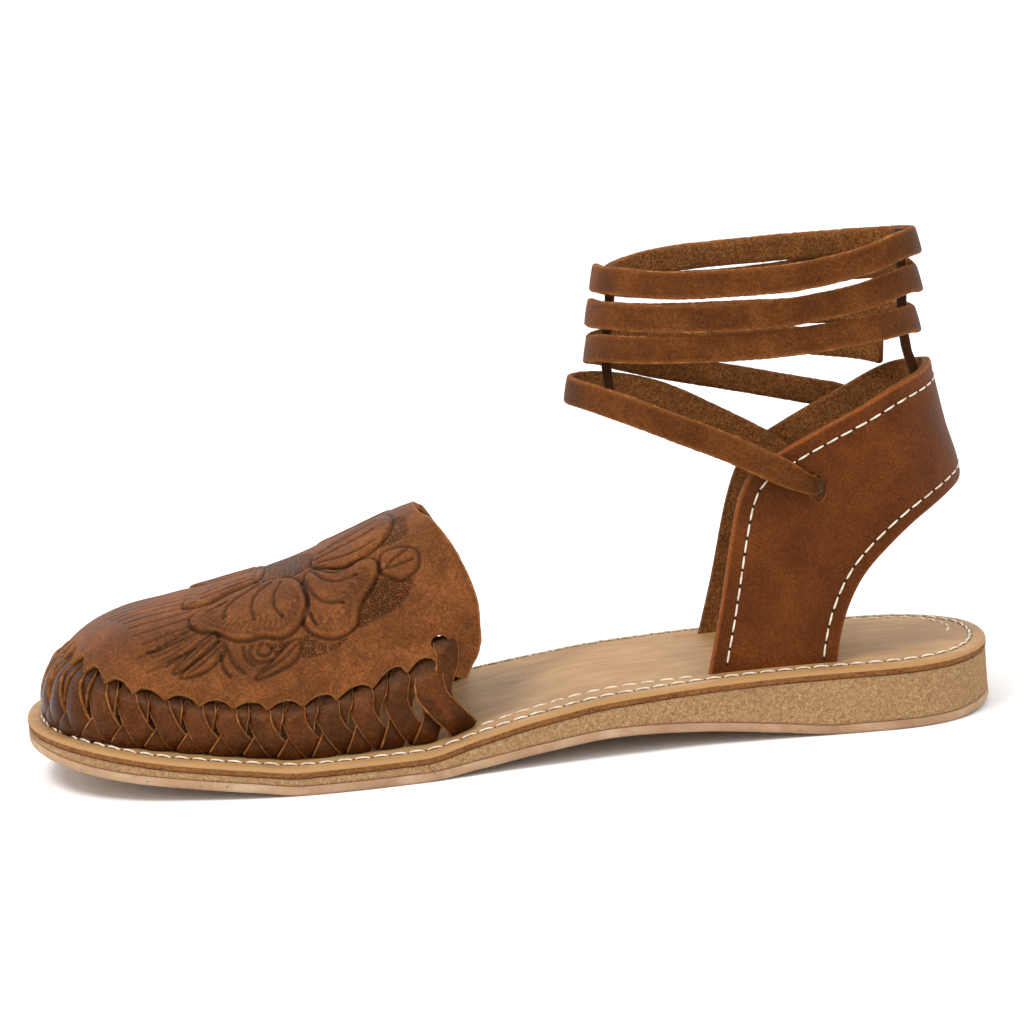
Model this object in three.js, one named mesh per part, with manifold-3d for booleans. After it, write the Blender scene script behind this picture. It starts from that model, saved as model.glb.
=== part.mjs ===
// A leather huarache sandal, left foot: layered sole, hollow tooled vamp with a laced edge,
// heel cuff, and one long strap wound round the ankle.
// Millimetres. The toe points to -X, the heel to +X, the outer (little toe) side to -Y and +Z is up.
// The origin is on the floor, under the middle of the heel.
import * as THREE from "three";
import { mergeVertices } from "three/addons/utils/BufferGeometryUtils.js";
import Module from "manifold-3d";

const wasm = await Module();
wasm.setup();

// ---------------------------------------------------------------- driving dimensions

const GAP = 0.3; // between pieces that touch
const TOE = -221; // tip of the sole
const HEEL = 36.8; // back of the sole
const INSOLE = 3;
const OUTSOLE = 2.6;
const VAMP_WALL = 2;
const LACING_OUT = 1.2; // how far the lacing stands out from the vamp's outer face
const LACING_IN = 2.4;
const LACING_FOOT = 0.5; // its gap to the insole, whose top is hollow between the lacing's steps
const CUFF_WALL = 2.4;
const STRAP = { width: 7.2, thick: 2 };
const HOLE = { x: -7.4, z: 64.6, radius: 4.1 }; // strap hole in each side of the cuff
const KEEPER = { width: 3.4, thick: 2.6 };

// Sole sections: centre line and half width, rise of the underside, and total thickness.
const SOLE = [
  { x: -221, mid: 1.6, half: 38.4, under: 10.8, total: 7 },
  { x: -200, mid: 0.6, half: 41, under: 6.6, total: 8.1 },
  { x: -180, mid: -0.7, half: 43.4, under: 3.9, total: 7.5 },
  { x: -160, mid: -2.1, half: 45.5, under: 1.7, total: 7.4 },
  { x: -145, mid: -2.4, half: 46, under: 0, total: 7.6 },
  { x: -115, mid: -1.6, half: 43.9, under: 0, total: 7.8 },
  { x: -100, mid: -1, half: 41, under: 0.6, total: 10.1 },
  { x: -84, mid: -1.1, half: 37.7, under: 2.2, total: 11.5 },
  { x: -64, mid: -0.1, half: 35.4, under: 5.3, total: 10.9 },
  { x: -42, mid: 1.8, half: 34.1, under: 4, total: 13.2 },
  { x: -22, mid: 1.2, half: 32.7, under: 1.8, total: 16 },
  { x: -5, mid: 0.2, half: 31.6, under: 0, total: 17.9 },
  { x: 24, mid: -0.7, half: 31, under: 0, total: 17.9 },
  { x: 36.8, mid: -1.2, half: 31, under: 1.5, total: 16.8 },
];
const TOE_CAP = { depth: 40, power: 2.3 };
const HEEL_CAP = { depth: 30, power: 2.2 };

// Vamp, by the place on its base line: inset from the sole's edge, height of the ridge,
// height of the seam above the floor, swell beyond the base, and squareness of the section.
const VAMP = [
  { x: -214.6, inset: 6, ridge: 37.6, seam: 33.4, swell: 1.2, power: 3 },
  { x: -205, inset: 7.2, ridge: 40.4, seam: 31.6, swell: 1.4, power: 3 },
  { x: -194, inset: 9, ridge: 42.4, seam: 28.2, swell: 2, power: 2.9 },
  { x: -183, inset: 10.2, ridge: 44.2, seam: 25, swell: 2.6, power: 2.75 },
  { x: -168, inset: 10.5, ridge: 47.3, seam: 22.2, swell: 3.4, power: 2.6 },
  { x: -150, inset: 10.8, ridge: 51.7, seam: 20.8, swell: 4, power: 2.45 },
  { x: -133, inset: 11.5, ridge: 57.6, seam: 22.4, swell: 4.6, power: 2.35 },
  { x: -117, inset: 12.8, ridge: 63.9, seam: 26.5, swell: 5, power: 2.3 },
  { x: -102, inset: 14, ridge: 67.6, seam: 23.5, swell: 5, power: 2.3 },
];
const VAMP_TIP = -214.6; // front of its base line
const VAMP_TURN = -183; // where the base line leaves the sides for the toe's curve
const VAMP_REAR = -102; // rear of its base line
const RIDGE_Y = 1.5;
const TOE_POWER = 2.35; // squareness of the toe in plan
// x of the rear edge on each side, by the rise from its foot to the ridge.
const THROAT = [
  { rise: 0, outer: -102, inner: -104 },
  { rise: 0.2, outer: -102.6, inner: -106.4 },
  { rise: 0.27, outer: -101, inner: -106.2 },
  { rise: 0.34, outer: -98.6, inner: -105 },
  { rise: 0.42, outer: -97.6, inner: -104.2 },
  { rise: 0.53, outer: -97.6, inner: -104 },
  { rise: 0.64, outer: -98.9, inner: -105 },
  { rise: 0.75, outer: -101.4, inner: -106.8 },
  { rise: 0.84, outer: -104.2, inner: -108.6 },
  { rise: 0.94, outer: -108.4, inner: -111 },
  { rise: 0.985, outer: -112, inner: -112.8 },
  { rise: 1, outer: -113, inner: -113 },
];

// Heel cuff. Its two edges run from the foot in the insole's slot (wrap 0) to the middle of the
// back (wrap 1), and its plan is a round-backed U whose half width and back change with height.
const CUFF_Y = 1.5;
const CUFF_FRONT = -40; // wrap 0
const SLOT = { from: -42.5, to: -3.4 }; // slots in the insole for the cuff's two feet
const CUFF_LEADING = [
  { run: 0, outer: 0.005, inner: 0.005, z: 13 },
  { run: 0.13, outer: 0.06, inner: 0.07, z: 32 },
  { run: 0.32, outer: 0.12, inner: 0.14, z: 55 },
  { run: 0.42, outer: 0.15, inner: 0.18, z: 63.6 },
  { run: 0.5, outer: 0.2, inner: 0.24, z: 69.8 },
  { run: 0.58, outer: 0.3, inner: 0.34, z: 74.5 },
  { run: 0.7, outer: 0.5, inner: 0.535, z: 81.9 },
  { run: 0.84, outer: 0.74, inner: 0.76, z: 89.4 },
  { run: 1, outer: 1, inner: 1, z: 92.4 },
];
const CUFF_TRAILING = [
  { run: 0, wrap: 0.39, z: 13 },
  { run: 0.15, wrap: 0.425, z: 27.4 },
  { run: 0.32, wrap: 0.485, z: 38.8 },
  { run: 0.5, wrap: 0.59, z: 48.4 },
  { run: 0.66, wrap: 0.7, z: 54.7 },
  { run: 0.82, wrap: 0.84, z: 59.1 },
  { run: 1, wrap: 1, z: 61.5 },
];
const CUFF_PLAN = [
  { z: 15, half: 25.5, back: 32 },
  { z: 45, half: 25, back: 33 },
  { z: 62, half: 23.8, back: 33 },
  { z: 76, half: 22.8, back: 30 },
  { z: 95, half: 22.4, back: 26.6 },
];

// The ankle's oval that the strap is wound on, through the middle of the strap.
const ANKLE = [
  { z: 92, front: -63.4, back: 22.8, half: 24.5 },
  { z: 102.5, front: -63.2, back: 23.6, half: 25 },
  { z: 112.5, front: -62, back: 24.7, half: 25 },
  { z: 123, front: -59.6, back: 25.3, half: 25 },
];
const ANKLE_Y = 1;
const ANKLE_POWER = 2.35;

// The strap's first length, through its middle: out of the outer hole, round the front, down inside
// the cuff's inner side, out at the inner hole and up to the front again.
const STRAP_LEAD = [
  { x: -6.2, y: -17.4, z: 64.6, width: 4.8 },
  { x: -6.8, y: -20.7, z: 64.8, width: 4.8 },
  { x: -9.4, y: -24.1, z: 65.9, width: 5.4 },
  { x: -16.5, y: -24.4, z: 70.2, width: 7.2 },
  { x: -31, y: -24.6, z: 78.2, width: 7.2 },
  { x: -46, y: -22.2, z: 85, width: 7.2 },
  { x: -58, y: -15, z: 89.6, width: 7.2 },
  { x: -66.4, y: -6.5, z: 91.8, width: 7.2 },
  { x: -69.3, y: 1.5, z: 92.2, width: 7.2 },
  { x: -65.4, y: 9, z: 91.8, width: 7.2 },
  { x: -55, y: 14.6, z: 89.6, width: 7.2 },
  { x: -43.5, y: 18.5, z: 85.2, width: 7.2 },
  { x: -28, y: 20, z: 76.4, width: 7.2 },
  { x: -17.5, y: 20.2, z: 70, width: 7.2 },
  { x: -9.6, y: 20.4, z: 64.9, width: 5 },
  { x: -7.4, y: 23.7, z: 64.3, width: 4.6 },
  { x: -4.8, y: 27.2, z: 64.2, width: 4.8 },
  { x: 1.5, y: 28, z: 64.8, width: 5.6 },
  { x: 8.6, y: 27.9, z: 67.6, width: 6.4 },
  { x: 11.2, y: 27.5, z: 73.4, width: 7 },
  { x: 6, y: 27.5, z: 79, width: 7.2 },
  { x: -5, y: 27.6, z: 82.2, width: 7.2 },
  { x: -24, y: 27.4, z: 87.2, width: 7.2 },
  { x: -43, y: 24.6, z: 92.4, width: 7.2 },
  { x: -53.6, y: 19.6, z: 96.4, width: 7.2 },
];
// Then it is wound: degrees from the back, by the inner side (90), the front (180) and the
// outer side (270); the height of its middle; and how far it is tucked inside the oval.
const STRAP_WOUND = [
  { turn: 155, z: 99.6, tuck: 0 },
  { turn: 180, z: 102.2, tuck: 0 },
  { turn: 205, z: 104.2, tuck: 0 },
  { turn: 235, z: 104, tuck: 0 },
  { turn: 270, z: 103.5, tuck: 0 },
  { turn: 300, z: 104.2, tuck: 0 },
  { turn: 335, z: 105, tuck: 0 },
  { turn: 360, z: 103.4, tuck: 0 },
  { turn: 390, z: 103.6, tuck: 0 },
  { turn: 440, z: 104.6, tuck: 0.4 },
  { turn: 480, z: 106.4, tuck: 0 },
  { turn: 515, z: 109.6, tuck: 0 },
  { turn: 540, z: 112.2, tuck: 0 },
  { turn: 570, z: 112.8, tuck: 0 },
  { turn: 600, z: 111.9, tuck: 0 },
  { turn: 630, z: 111.2, tuck: 0 },
  { turn: 660, z: 112.9, tuck: 0 },
  { turn: 695, z: 115.6, tuck: 0 },
  { turn: 720, z: 114.2, tuck: 0 },
  { turn: 750, z: 116.2, tuck: 0 },
  { turn: 785, z: 115.3, tuck: 0 },
  { turn: 815, z: 114, tuck: 0 },
  { turn: 845, z: 115.2, tuck: 0 },
  { turn: 875, z: 118.6, tuck: 0 },
  { turn: 900, z: 121.3, tuck: 0 },
  { turn: 930, z: 121.8, tuck: 0 },
  { turn: 960, z: 120.6, tuck: 0 },
  { turn: 990, z: 120.2, tuck: 0 },
  { turn: 1020, z: 122, tuck: 0 },
  { turn: 1055, z: 125.2, tuck: 0 },
  { turn: 1080, z: 124.4, tuck: 0.3 },
  { turn: 1110, z: 123.2, tuck: 1.6 },
  { turn: 1150, z: 122.4, tuck: 2.4 },
  { turn: 1200, z: 121.8, tuck: 2.4 },
  { turn: 1235, z: 120.2, tuck: 2.4 },
  { turn: 1252, z: 119.6, tuck: 2.5 },
];
// The strap's other end: from inside the back of the cuff up the inner side to the lowest ring.
const STRAP_TAIL = [
  { turn: 28, z: 93.8, tuck: 3.6 },
  { turn: 60, z: 95.6, tuck: 2.6 },
  { turn: 90, z: 98.4, tuck: 2.5 },
  { turn: 125, z: 100.8, tuck: 2.4 },
  { turn: 155, z: 102.2, tuck: 1.6 },
  { turn: 180, z: 102.6, tuck: 0.6 },
];
// Two thongs inside the rings, from the top ring down: one at the back, one at the front.
const BACK_KEEPER = [
  { x: 21.2, z: 127.5 },
  { x: 21, z: 116 },
  { x: 20.4, z: 104 },
  { x: 21, z: 96 },
  { x: 23, z: 88 },
  { x: 23.8, z: 82 },
];
const FRONT_KEEPER = [
  { x: -55.4, z: 124 },
  { x: -56.6, z: 114 },
  { x: -58.2, z: 104 },
  { x: -58.6, z: 96 },
  { x: -58.2, z: 91 },
];

// ---------------------------------------------------------------- curves through tables

const mix = (a, b, t) => a + (b - a) * t;
const clamp = (v, low, high) => Math.min(high, Math.max(low, v));
const steps = (n) => Array.from({ length: n + 1 }, (_, i) => i / n);

// A smooth curve through one column of a table, which never overshoots its rows.
function curve(table, along, column) {
  const x = table.map((row) => row[along]);
  const y = table.map((row) => row[column]);
  const rise = y.slice(1).map((v, i) => (v - y[i]) / (x[i + 1] - x[i]));
  const slope = y.map((_, i) => {
    if (i === 0) return rise[0];
    if (i === rise.length) return rise[i - 1];
    const [a, b] = [rise[i - 1], rise[i]];
    return a * b <= 0 ? 0 : (2 * a * b) / (a + b);
  });
  return (at) => {
    const v = clamp(at, x[0], x[x.length - 1]);
    const i = clamp(x.findIndex((edge) => edge > v) - 1, 0, rise.length - 1);
    const k = v >= x[x.length - 1] ? rise.length - 1 : i;
    const h = x[k + 1] - x[k];
    const t = (v - x[k]) / h;
    const u = 1 - t;
    return (
      u * u * (1 + 2 * t) * y[k] +
      t * t * (3 - 2 * t) * y[k + 1] +
      t * u * u * h * slope[k] -
      t * t * u * h * slope[k + 1]
    );
  };
}

// ---------------------------------------------------------------- closed solids

// A closed body through rings of points, with flat ends.
function loft(rings) {
  const n = rings[0].length;
  const index = [];
  for (let i = 0; i + 1 < rings.length; i++) {
    for (let j = 0; j < n; j++) {
      const [a, b] = [i * n + j, i * n + ((j + 1) % n)];
      index.push(a, b, b + n, a, b + n, a + n);
    }
  }
  const last = (rings.length - 1) * n;
  for (let j = 1; j + 1 < n; j++) {
    index.push(0, j + 1, j, last, last + j, last + j + 1);
  }
  return facing(bufferOf(rings.flat(), index));
}

// A closed body from a sheet of points: a wall that reaches outward and inward of it.
// Points in one place are joined first, so that a sheet may close on itself.
function wall(grid, outward, inward, settle = (p) => p) {
  const points = [];
  const known = new Map();
  const ids = grid.map((line) =>
    line.map((p) => {
      const key = p.toArray().map((v) => Math.round(v * 1e3)).join();
      if (!known.has(key)) known.set(key, points.push(p) - 1);
      return known.get(key);
    }),
  );
  const faces = [];
  for (let i = 0; i + 1 < ids.length; i++) {
    for (let j = 0; j + 1 < ids[i].length; j++) {
      const [a, b, c, d] = [ids[i][j], ids[i + 1][j], ids[i + 1][j + 1], ids[i][j + 1]];
      for (const face of [[a, b, c], [a, c, d]]) {
        if (new Set(face).size === 3) faces.push(face);
      }
    }
  }
  const normals = points.map(() => new THREE.Vector3());
  for (const [a, b, c] of faces) {
    const ab = points[b].clone().sub(points[a]);
    const area = ab.cross(points[c].clone().sub(points[a]));
    for (const id of [a, b, c]) normals[id].add(area);
  }
  const rim = new Map();
  for (const [a, b, c] of faces) {
    for (const [p, q] of [[a, b], [b, c], [c, a]]) {
      if (!rim.delete(q + "," + p)) rim.set(p + "," + q, [p, q]);
    }
  }
  const onRim = new Set([...rim.values()].flat());
  const n = points.length;
  const shifted = (by) =>
    points.map((p, id) => {
      const moved = p.clone().addScaledVector(normals[id].clone().normalize(), by);
      return onRim.has(id) ? settle(moved, p) : moved;
    });
  const index = [];
  for (const [a, b, c] of faces) index.push(a, b, c, a + n, c + n, b + n);
  for (const [p, q] of rim.values()) index.push(p, p + n, q + n, p, q + n, q);
  return facing(bufferOf([...shifted(outward), ...shifted(-inward)], index));
}

function bufferOf(points, index) {
  const geometry = new THREE.BufferGeometry().setFromPoints(points);
  return geometry.setIndex(index);
}

// Turns every face round if the body is inside out.
function facing(geometry) {
  const p = geometry.getAttribute("position");
  const index = geometry.getIndex().array;
  const corner = (i) => new THREE.Vector3().fromBufferAttribute(p, index[i]);
  let volume = 0;
  for (let i = 0; i < index.length; i += 3) {
    volume += corner(i).dot(corner(i + 1).cross(corner(i + 2)));
  }
  if (volume < 0) {
    for (let i = 0; i < index.length; i += 3) {
      [index[i + 1], index[i + 2]] = [index[i + 2], index[i + 1]];
    }
  }
  return geometry;
}

function solidOf(geometry) {
  const bare = geometry.clone();
  bare.deleteAttribute("normal");
  bare.deleteAttribute("uv");
  const merged = mergeVertices(bare, 1e-4);
  return new wasm.Manifold(
    new wasm.Mesh({
      numProp: 3,
      vertProperties: merged.getAttribute("position").array,
      triVerts: new Uint32Array(merged.getIndex().array),
    }),
  );
}

function geometryOf(solid) {
  const { vertProperties, triVerts } = solid.getMesh();
  return new THREE.BufferGeometry()
    .setAttribute("position", new THREE.BufferAttribute(vertProperties, 3))
    .setIndex(new THREE.BufferAttribute(triVerts, 1));
}

// ---------------------------------------------------------------- sole

const soleMid = curve(SOLE, "x", "mid");
const soleHalf = curve(SOLE, "x", "half");
const soleUnder = curve(SOLE, "x", "under");
const soleTotal = curve(SOLE, "x", "total");
const soleTop = (x) => soleUnder(x) + soleTotal(x);

// How much of the half width is left near the rounded toe and heel.
function capAt(x) {
  const part = (depth, power, from) => {
    const t = clamp(1 - from / depth, 0, 1);
    return (1 - t ** power) ** (1 / power);
  };
  return Math.min(
    part(TOE_CAP.depth, TOE_CAP.power, x - TOE),
    part(HEEL_CAP.depth, HEEL_CAP.power, HEEL - x),
  );
}

const soleEdge = (x, side) => soleMid(x) + side * soleHalf(x) * capAt(x);

// A layer with the sole's outline. Its two faces depend only on the place along the foot.
function layer(bottom, top) {
  const tip = 0.12; // flat left at the very tip, so that the first section has a width
  return loft(
    steps(52).map((t) => {
      const x = mix(TOE + tip, HEEL - tip, (1 - Math.cos(Math.PI * t)) / 2);
      const [outer, inner] = [soleEdge(x, -1), soleEdge(x, 1)];
      return [
        new THREE.Vector3(x, outer, bottom(x)),
        new THREE.Vector3(x, inner, bottom(x)),
        new THREE.Vector3(x, inner, top(x)),
        new THREE.Vector3(x, outer, top(x)),
      ];
    }),
  );
}

const insoleUnder = (x) => soleTop(x) - INSOLE;

function outsole() {
  return layer(soleUnder, (x) => soleUnder(x) + OUTSOLE);
}

function midsole() {
  return layer((x) => soleUnder(x) + OUTSOLE + GAP, (x) => insoleUnder(x) - GAP);
}

// The insole has a slot on each side for the foot of the cuff.
function insole() {
  const size = [SLOT.to - SLOT.from, CUFF_WALL + 2 * GAP, 4 * INSOLE];
  const middle = [(SLOT.from + SLOT.to) / 2, 0, soleTop(SLOT.to)];
  const reach = CUFF_PLAN[0].half - CUFF_WALL / 2;
  return geometryOf(
    [-1, 1].reduce((body, side) => {
      const slot = new THREE.BoxGeometry(...size).translate(...middle);
      return body.subtract(solidOf(slot.translate(0, CUFF_Y + side * reach, 0)));
    }, solidOf(layer(insoleUnder, soleTop))),
  );
}

// ---------------------------------------------------------------- vamp and its lacing

const vampInset = curve(VAMP, "x", "inset");
const vampRidge = curve(VAMP, "x", "ridge");
const vampSeam = curve(VAMP, "x", "seam");
const vampSwell = curve(VAMP, "x", "swell");
const vampPower = curve(VAMP, "x", "power");
const throatOuter = curve(THROAT, "rise", "outer");
const throatInner = curve(THROAT, "rise", "inner");

// A point of the vamp's base line: way runs from -1 (outer rear) by 0 (toe) to 1 (inner rear).
function vampBase(way) {
  const side = way < 0 ? -1 : 1;
  const toePart = 0.46;
  const far = Math.abs(way);
  const turnY = soleEdge(VAMP_TURN, side) - side * vampInset(VAMP_TURN);
  if (far < toePart) {
    const angle = (far / toePart) * (Math.PI / 2);
    const x = mix(VAMP_TURN, VAMP_TIP, Math.cos(angle) ** (2 / TOE_POWER));
    return { x, y: mix(soleMid(x), turnY, Math.sin(angle) ** (2 / TOE_POWER)), back: 0 };
  }
  const back = (far - toePart) / (1 - toePart);
  const x = mix(VAMP_TURN, VAMP_REAR, back);
  return { x, y: soleEdge(x, side) - side * vampInset(x), back };
}

// A point of the vamp's outer face, by the way along the base line and the rise to the ridge.
function vampPoint(way, rise) {
  const base = vampBase(way);
  const power = vampPower(base.x);
  const lean = 1 - (1 - rise ** power) ** (1 / power);
  const outward = new THREE.Vector2(Math.min(0, base.x - VAMP_TURN), base.y - RIDGE_Y).normalize();
  const swell = vampSwell(base.x) * Math.sin(Math.PI * Math.sqrt(rise)) * (1 - rise);
  const throat = way < 0 ? throatOuter(rise) : throatInner(rise);
  const alongSide = mix(VAMP_TURN, throat, base.back);
  const x = (base.back > 0 ? alongSide : mix(base.x, VAMP_TURN, lean)) + outward.x * swell;
  const y = mix(base.y, RIDGE_Y, lean) + outward.y * swell;
  const foot = soleTop(base.x) + GAP;
  return new THREE.Vector3(x, y, mix(foot, vampRidge(x), rise));
}

// The rise at which the leather ends and the lacing begins.
function seamRise(way) {
  const { x } = vampBase(way);
  const foot = soleTop(x) + GAP;
  return (vampSeam(x) - foot) / (vampRidge(x) - foot);
}

const VAMP_WAYS = steps(48).map((t) => mix(-1, 1, t));

function vamp() {
  return wall(
    VAMP_WAYS.map((way) => {
      const from = seamRise(way) + GAP / 40;
      return steps(13).map((t) => vampPoint(way, mix(from, 1, Math.sin((t * Math.PI) / 2))));
    }),
    0,
    VAMP_WALL,
  );
}

// The woven lacing strips are one wall, which stands on the insole.
function lacing() {
  const onInsole = (moved, from) => {
    const standing = from.z - soleTop(from.x) < 2 * GAP + 0.2;
    return standing ? moved.setZ(soleTop(moved.x) + LACING_FOOT) : moved;
  };
  return wall(
    VAMP_WAYS.map((way) => steps(4).map((t) => vampPoint(way, t * seamRise(way)))),
    LACING_OUT,
    LACING_IN,
    onInsole,
  );
}

// ---------------------------------------------------------------- heel cuff

const cuffHalf = curve(CUFF_PLAN, "z", "half");
const cuffBack = curve(CUFF_PLAN, "z", "back");

// A point of the cuff's outer face: wrap runs from 0 near the slots to 1 at the middle of the back.
function cuffPoint(wrap, z, side) {
  const half = cuffHalf(z);
  const centre = cuffBack(z) - half;
  const length = centre - CUFF_FRONT + (half * Math.PI) / 2;
  const along = wrap * length + CUFF_FRONT;
  const angle = Math.max(0, (along - centre) / half);
  return new THREE.Vector3(
    angle > 0 ? centre + half * Math.sin(angle) : along,
    CUFF_Y + side * half * Math.cos(angle),
    z,
  );
}

function heelCuff() {
  const leadingZ = curve(CUFF_LEADING, "run", "z");
  const leadingOuter = curve(CUFF_LEADING, "run", "outer");
  const leadingInner = curve(CUFF_LEADING, "run", "inner");
  const trailingZ = curve(CUFF_TRAILING, "run", "z");
  const trailingWrap = curve(CUFF_TRAILING, "run", "wrap");
  const lines = steps(44).map((t) => {
    const run = 1 - Math.abs(2 * t - 1);
    const side = t < 0.5 ? -1 : 1;
    const leadingWrap = side < 0 ? leadingOuter(run) : leadingInner(run);
    return steps(6).map((across) => {
      const wrap = mix(trailingWrap(run), leadingWrap, across);
      const foot = insoleUnder(cuffPoint(wrap, 20, side).x) + GAP;
      const z = Math.max(foot, mix(trailingZ(run), leadingZ(run), across));
      return cuffPoint(wrap, z, side);
    });
  });
  const hole = new THREE.CylinderGeometry(HOLE.radius, HOLE.radius, 100, 24).translate(HOLE.x, 0, 0);
  const cutter = solidOf(hole).translate([0, 0, HOLE.z]);
  return geometryOf(solidOf(wall(lines, 0, CUFF_WALL)).subtract(cutter));
}

// ---------------------------------------------------------------- ankle strap and keepers

const ankleFront = curve(ANKLE, "z", "front");
const ankleBack = curve(ANKLE, "z", "back");
const ankleHalf = curve(ANKLE, "z", "half");

// A point of the oval, so many degrees from the back and tucked so far inside it.
function anklePoint(turn, z, tuck) {
  const angle = THREE.MathUtils.degToRad(turn);
  const round = (v) => Math.sign(v) * Math.abs(v) ** (2 / ANKLE_POWER);
  const centre = (ankleFront(z) + ankleBack(z)) / 2;
  const length = (ankleBack(z) - ankleFront(z)) / 2 - tuck;
  return new THREE.Vector3(
    centre + length * round(Math.cos(angle)),
    ANKLE_Y + (ankleHalf(z) - tuck) * round(Math.sin(angle)),
    z,
  );
}

function woundPoints(table, step) {
  const [z, tuck] = [curve(table, "turn", "z"), curve(table, "turn", "tuck")];
  const [from, to] = [table[0].turn, table[table.length - 1].turn];
  return steps(Math.round((to - from) / step)).map((t) => {
    const turn = mix(from, to, t);
    return anklePoint(turn, z(turn), tuck(turn));
  });
}

// The level direction in which the oval faces outward at the angle of a place.
function outwardAt(p) {
  const length = (ankleBack(p.z) - ankleFront(p.z)) / 2;
  const [u, v] = [(p.x - ankleBack(p.z) + length) / length, (p.y - ANKLE_Y) / ankleHalf(p.z)];
  const steep = (w) => Math.sign(w) * Math.abs(w) ** (ANKLE_POWER - 1);
  return new THREE.Vector3(steep(u) / length, steep(v) / ankleHalf(p.z), 0).normalize();
}

// A flat strip along a route, facing away from the ankle. Its width follows widthAt(0..1).
function ribbon(points, count, widthAt, thick) {
  const path = new THREE.CatmullRomCurve3(points, false, "centripetal");
  path.arcLengthDivisions = 1200;
  return loft(
    steps(count).map((t) => {
      const centre = path.getPointAt(t);
      const along = path.getTangentAt(t);
      const across = along.clone().cross(outwardAt(centre)).normalize();
      const face = across.clone().cross(along);
      const [w, h] = [widthAt(t) / 2, thick / 2];
      return [[-w, -h], [w, -h], [w, h], [-w, h]].map(([a, f]) =>
        centre.clone().addScaledVector(across, a).addScaledVector(face, f),
      );
    }),
  );
}

function ankleStrap() {
  const lead = STRAP_LEAD.map(({ x, y, z }) => new THREE.Vector3(x, y, z));
  const points = [...lead, ...woundPoints(STRAP_WOUND, 12)];
  const length = new THREE.CatmullRomCurve3(points, false, "centripetal").getLength();
  const leadPath = new THREE.CatmullRomCurve3(lead, false, "centripetal");
  const leadLengths = leadPath.getLengths((lead.length - 1) * 10);
  const widths = STRAP_LEAD.map(({ width }, i) => ({ at: leadLengths[i * 10] / length, width }));
  widths.push({ at: 1, width: STRAP.width });
  const main = ribbon(points, 200, curve(widths, "at", "width"), STRAP.thick);
  const tail = ribbon(woundPoints(STRAP_TAIL, 12), 24, () => STRAP.width, STRAP.thick);
  return geometryOf(solidOf(main).add(solidOf(tail)));
}

function keeper(table) {
  const points = table.map(({ x, z }) => new THREE.Vector3(x, ANKLE_Y, z));
  const path = new THREE.CatmullRomCurve3(points, false, "centripetal");
  return loft(
    steps(12).map((t) => {
      const centre = path.getPointAt(t);
      const along = path.getTangentAt(t);
      const face = new THREE.Vector3(along.z, 0, -along.x);
      const [w, h] = [KEEPER.width / 2, KEEPER.thick / 2];
      return [[-w, -h], [w, -h], [w, h], [-w, h]].map(([a, f]) =>
        centre.clone().add(new THREE.Vector3(0, a, 0)).addScaledVector(face, f),
      );
    }),
  );
}

// ---------------------------------------------------------------- the sandal

const sandal = new THREE.Group();

function add(name, geometry, colour, roughness) {
  const material = new THREE.MeshStandardMaterial({ color: colour, roughness, metalness: 0 });
  const mesh = new THREE.Mesh(geometry, material);
  mesh.name = name;
  sandal.add(mesh);
}

add("outsole", outsole(), 0xb08d68, 0.85);
add("midsole", midsole(), 0xa07c52, 0.9);
add("insole", insole(), 0xc79a66, 0.6);
add("vamp", vamp(), 0x6b3a1c, 0.5);
add("vamp_lacing", lacing(), 0x56290f, 0.42);
add("heel_cuff", heelCuff(), 0x70401f, 0.5);
add("ankle_strap", ankleStrap(), 0x6a3a1a, 0.62);
add("back_keeper", keeper(BACK_KEEPER), 0x4a2a14, 0.7);
add("front_keeper", keeper(FRONT_KEEPER), 0x4a2a14, 0.7);

export default sandal;
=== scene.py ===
import math

import bpy
import numpy as np
from mathutils import Matrix, Vector


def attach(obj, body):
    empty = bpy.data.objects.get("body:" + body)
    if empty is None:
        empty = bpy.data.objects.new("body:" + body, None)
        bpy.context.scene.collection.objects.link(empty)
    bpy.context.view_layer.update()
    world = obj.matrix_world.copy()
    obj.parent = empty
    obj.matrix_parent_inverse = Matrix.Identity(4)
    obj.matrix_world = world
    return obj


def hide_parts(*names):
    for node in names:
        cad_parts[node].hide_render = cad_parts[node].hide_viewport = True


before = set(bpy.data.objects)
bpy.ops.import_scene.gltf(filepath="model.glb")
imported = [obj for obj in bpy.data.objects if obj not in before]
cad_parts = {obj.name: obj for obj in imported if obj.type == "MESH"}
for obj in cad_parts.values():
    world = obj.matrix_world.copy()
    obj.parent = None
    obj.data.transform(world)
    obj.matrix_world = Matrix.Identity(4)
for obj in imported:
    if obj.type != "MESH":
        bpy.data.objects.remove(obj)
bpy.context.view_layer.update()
bpy.context.scene.view_settings.view_transform = "Standard"
rng = np.random.default_rng(7)

MM = 0.001
GAP = 0.3
TOE = -221
HEEL = 36.8
INSOLE = 3
OUTSOLE = 2.6
VAMP_WALL = 2

# x, centre line, half width, rise of the underside, total thickness
SOLE = [
    (-221, 1.6, 38.4, 10.8, 7),
    (-200, 0.6, 41, 6.6, 8.1),
    (-180, -0.7, 43.4, 3.9, 7.5),
    (-160, -2.1, 45.5, 1.7, 7.4),
    (-145, -2.4, 46, 0, 7.6),
    (-115, -1.6, 43.9, 0, 7.8),
    (-100, -1, 41, 1.5, 9.2),
    (-84, -1.1, 37.7, 3.5, 10.2),
    (-64, -0.1, 35.4, 5.2, 11),
    (-42, 1.8, 34.1, 4, 13.2),
    (-22, 1.2, 32.7, 1.8, 16),
    (-5, 0.2, 31.6, 0, 17.9),
    (24, -0.7, 31, 0, 17.9),
    (36.8, -1.2, 31, 1.5, 16.8),
]
TOE_CAP = (40, 2.3)
HEEL_CAP = (30, 2.2)

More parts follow.
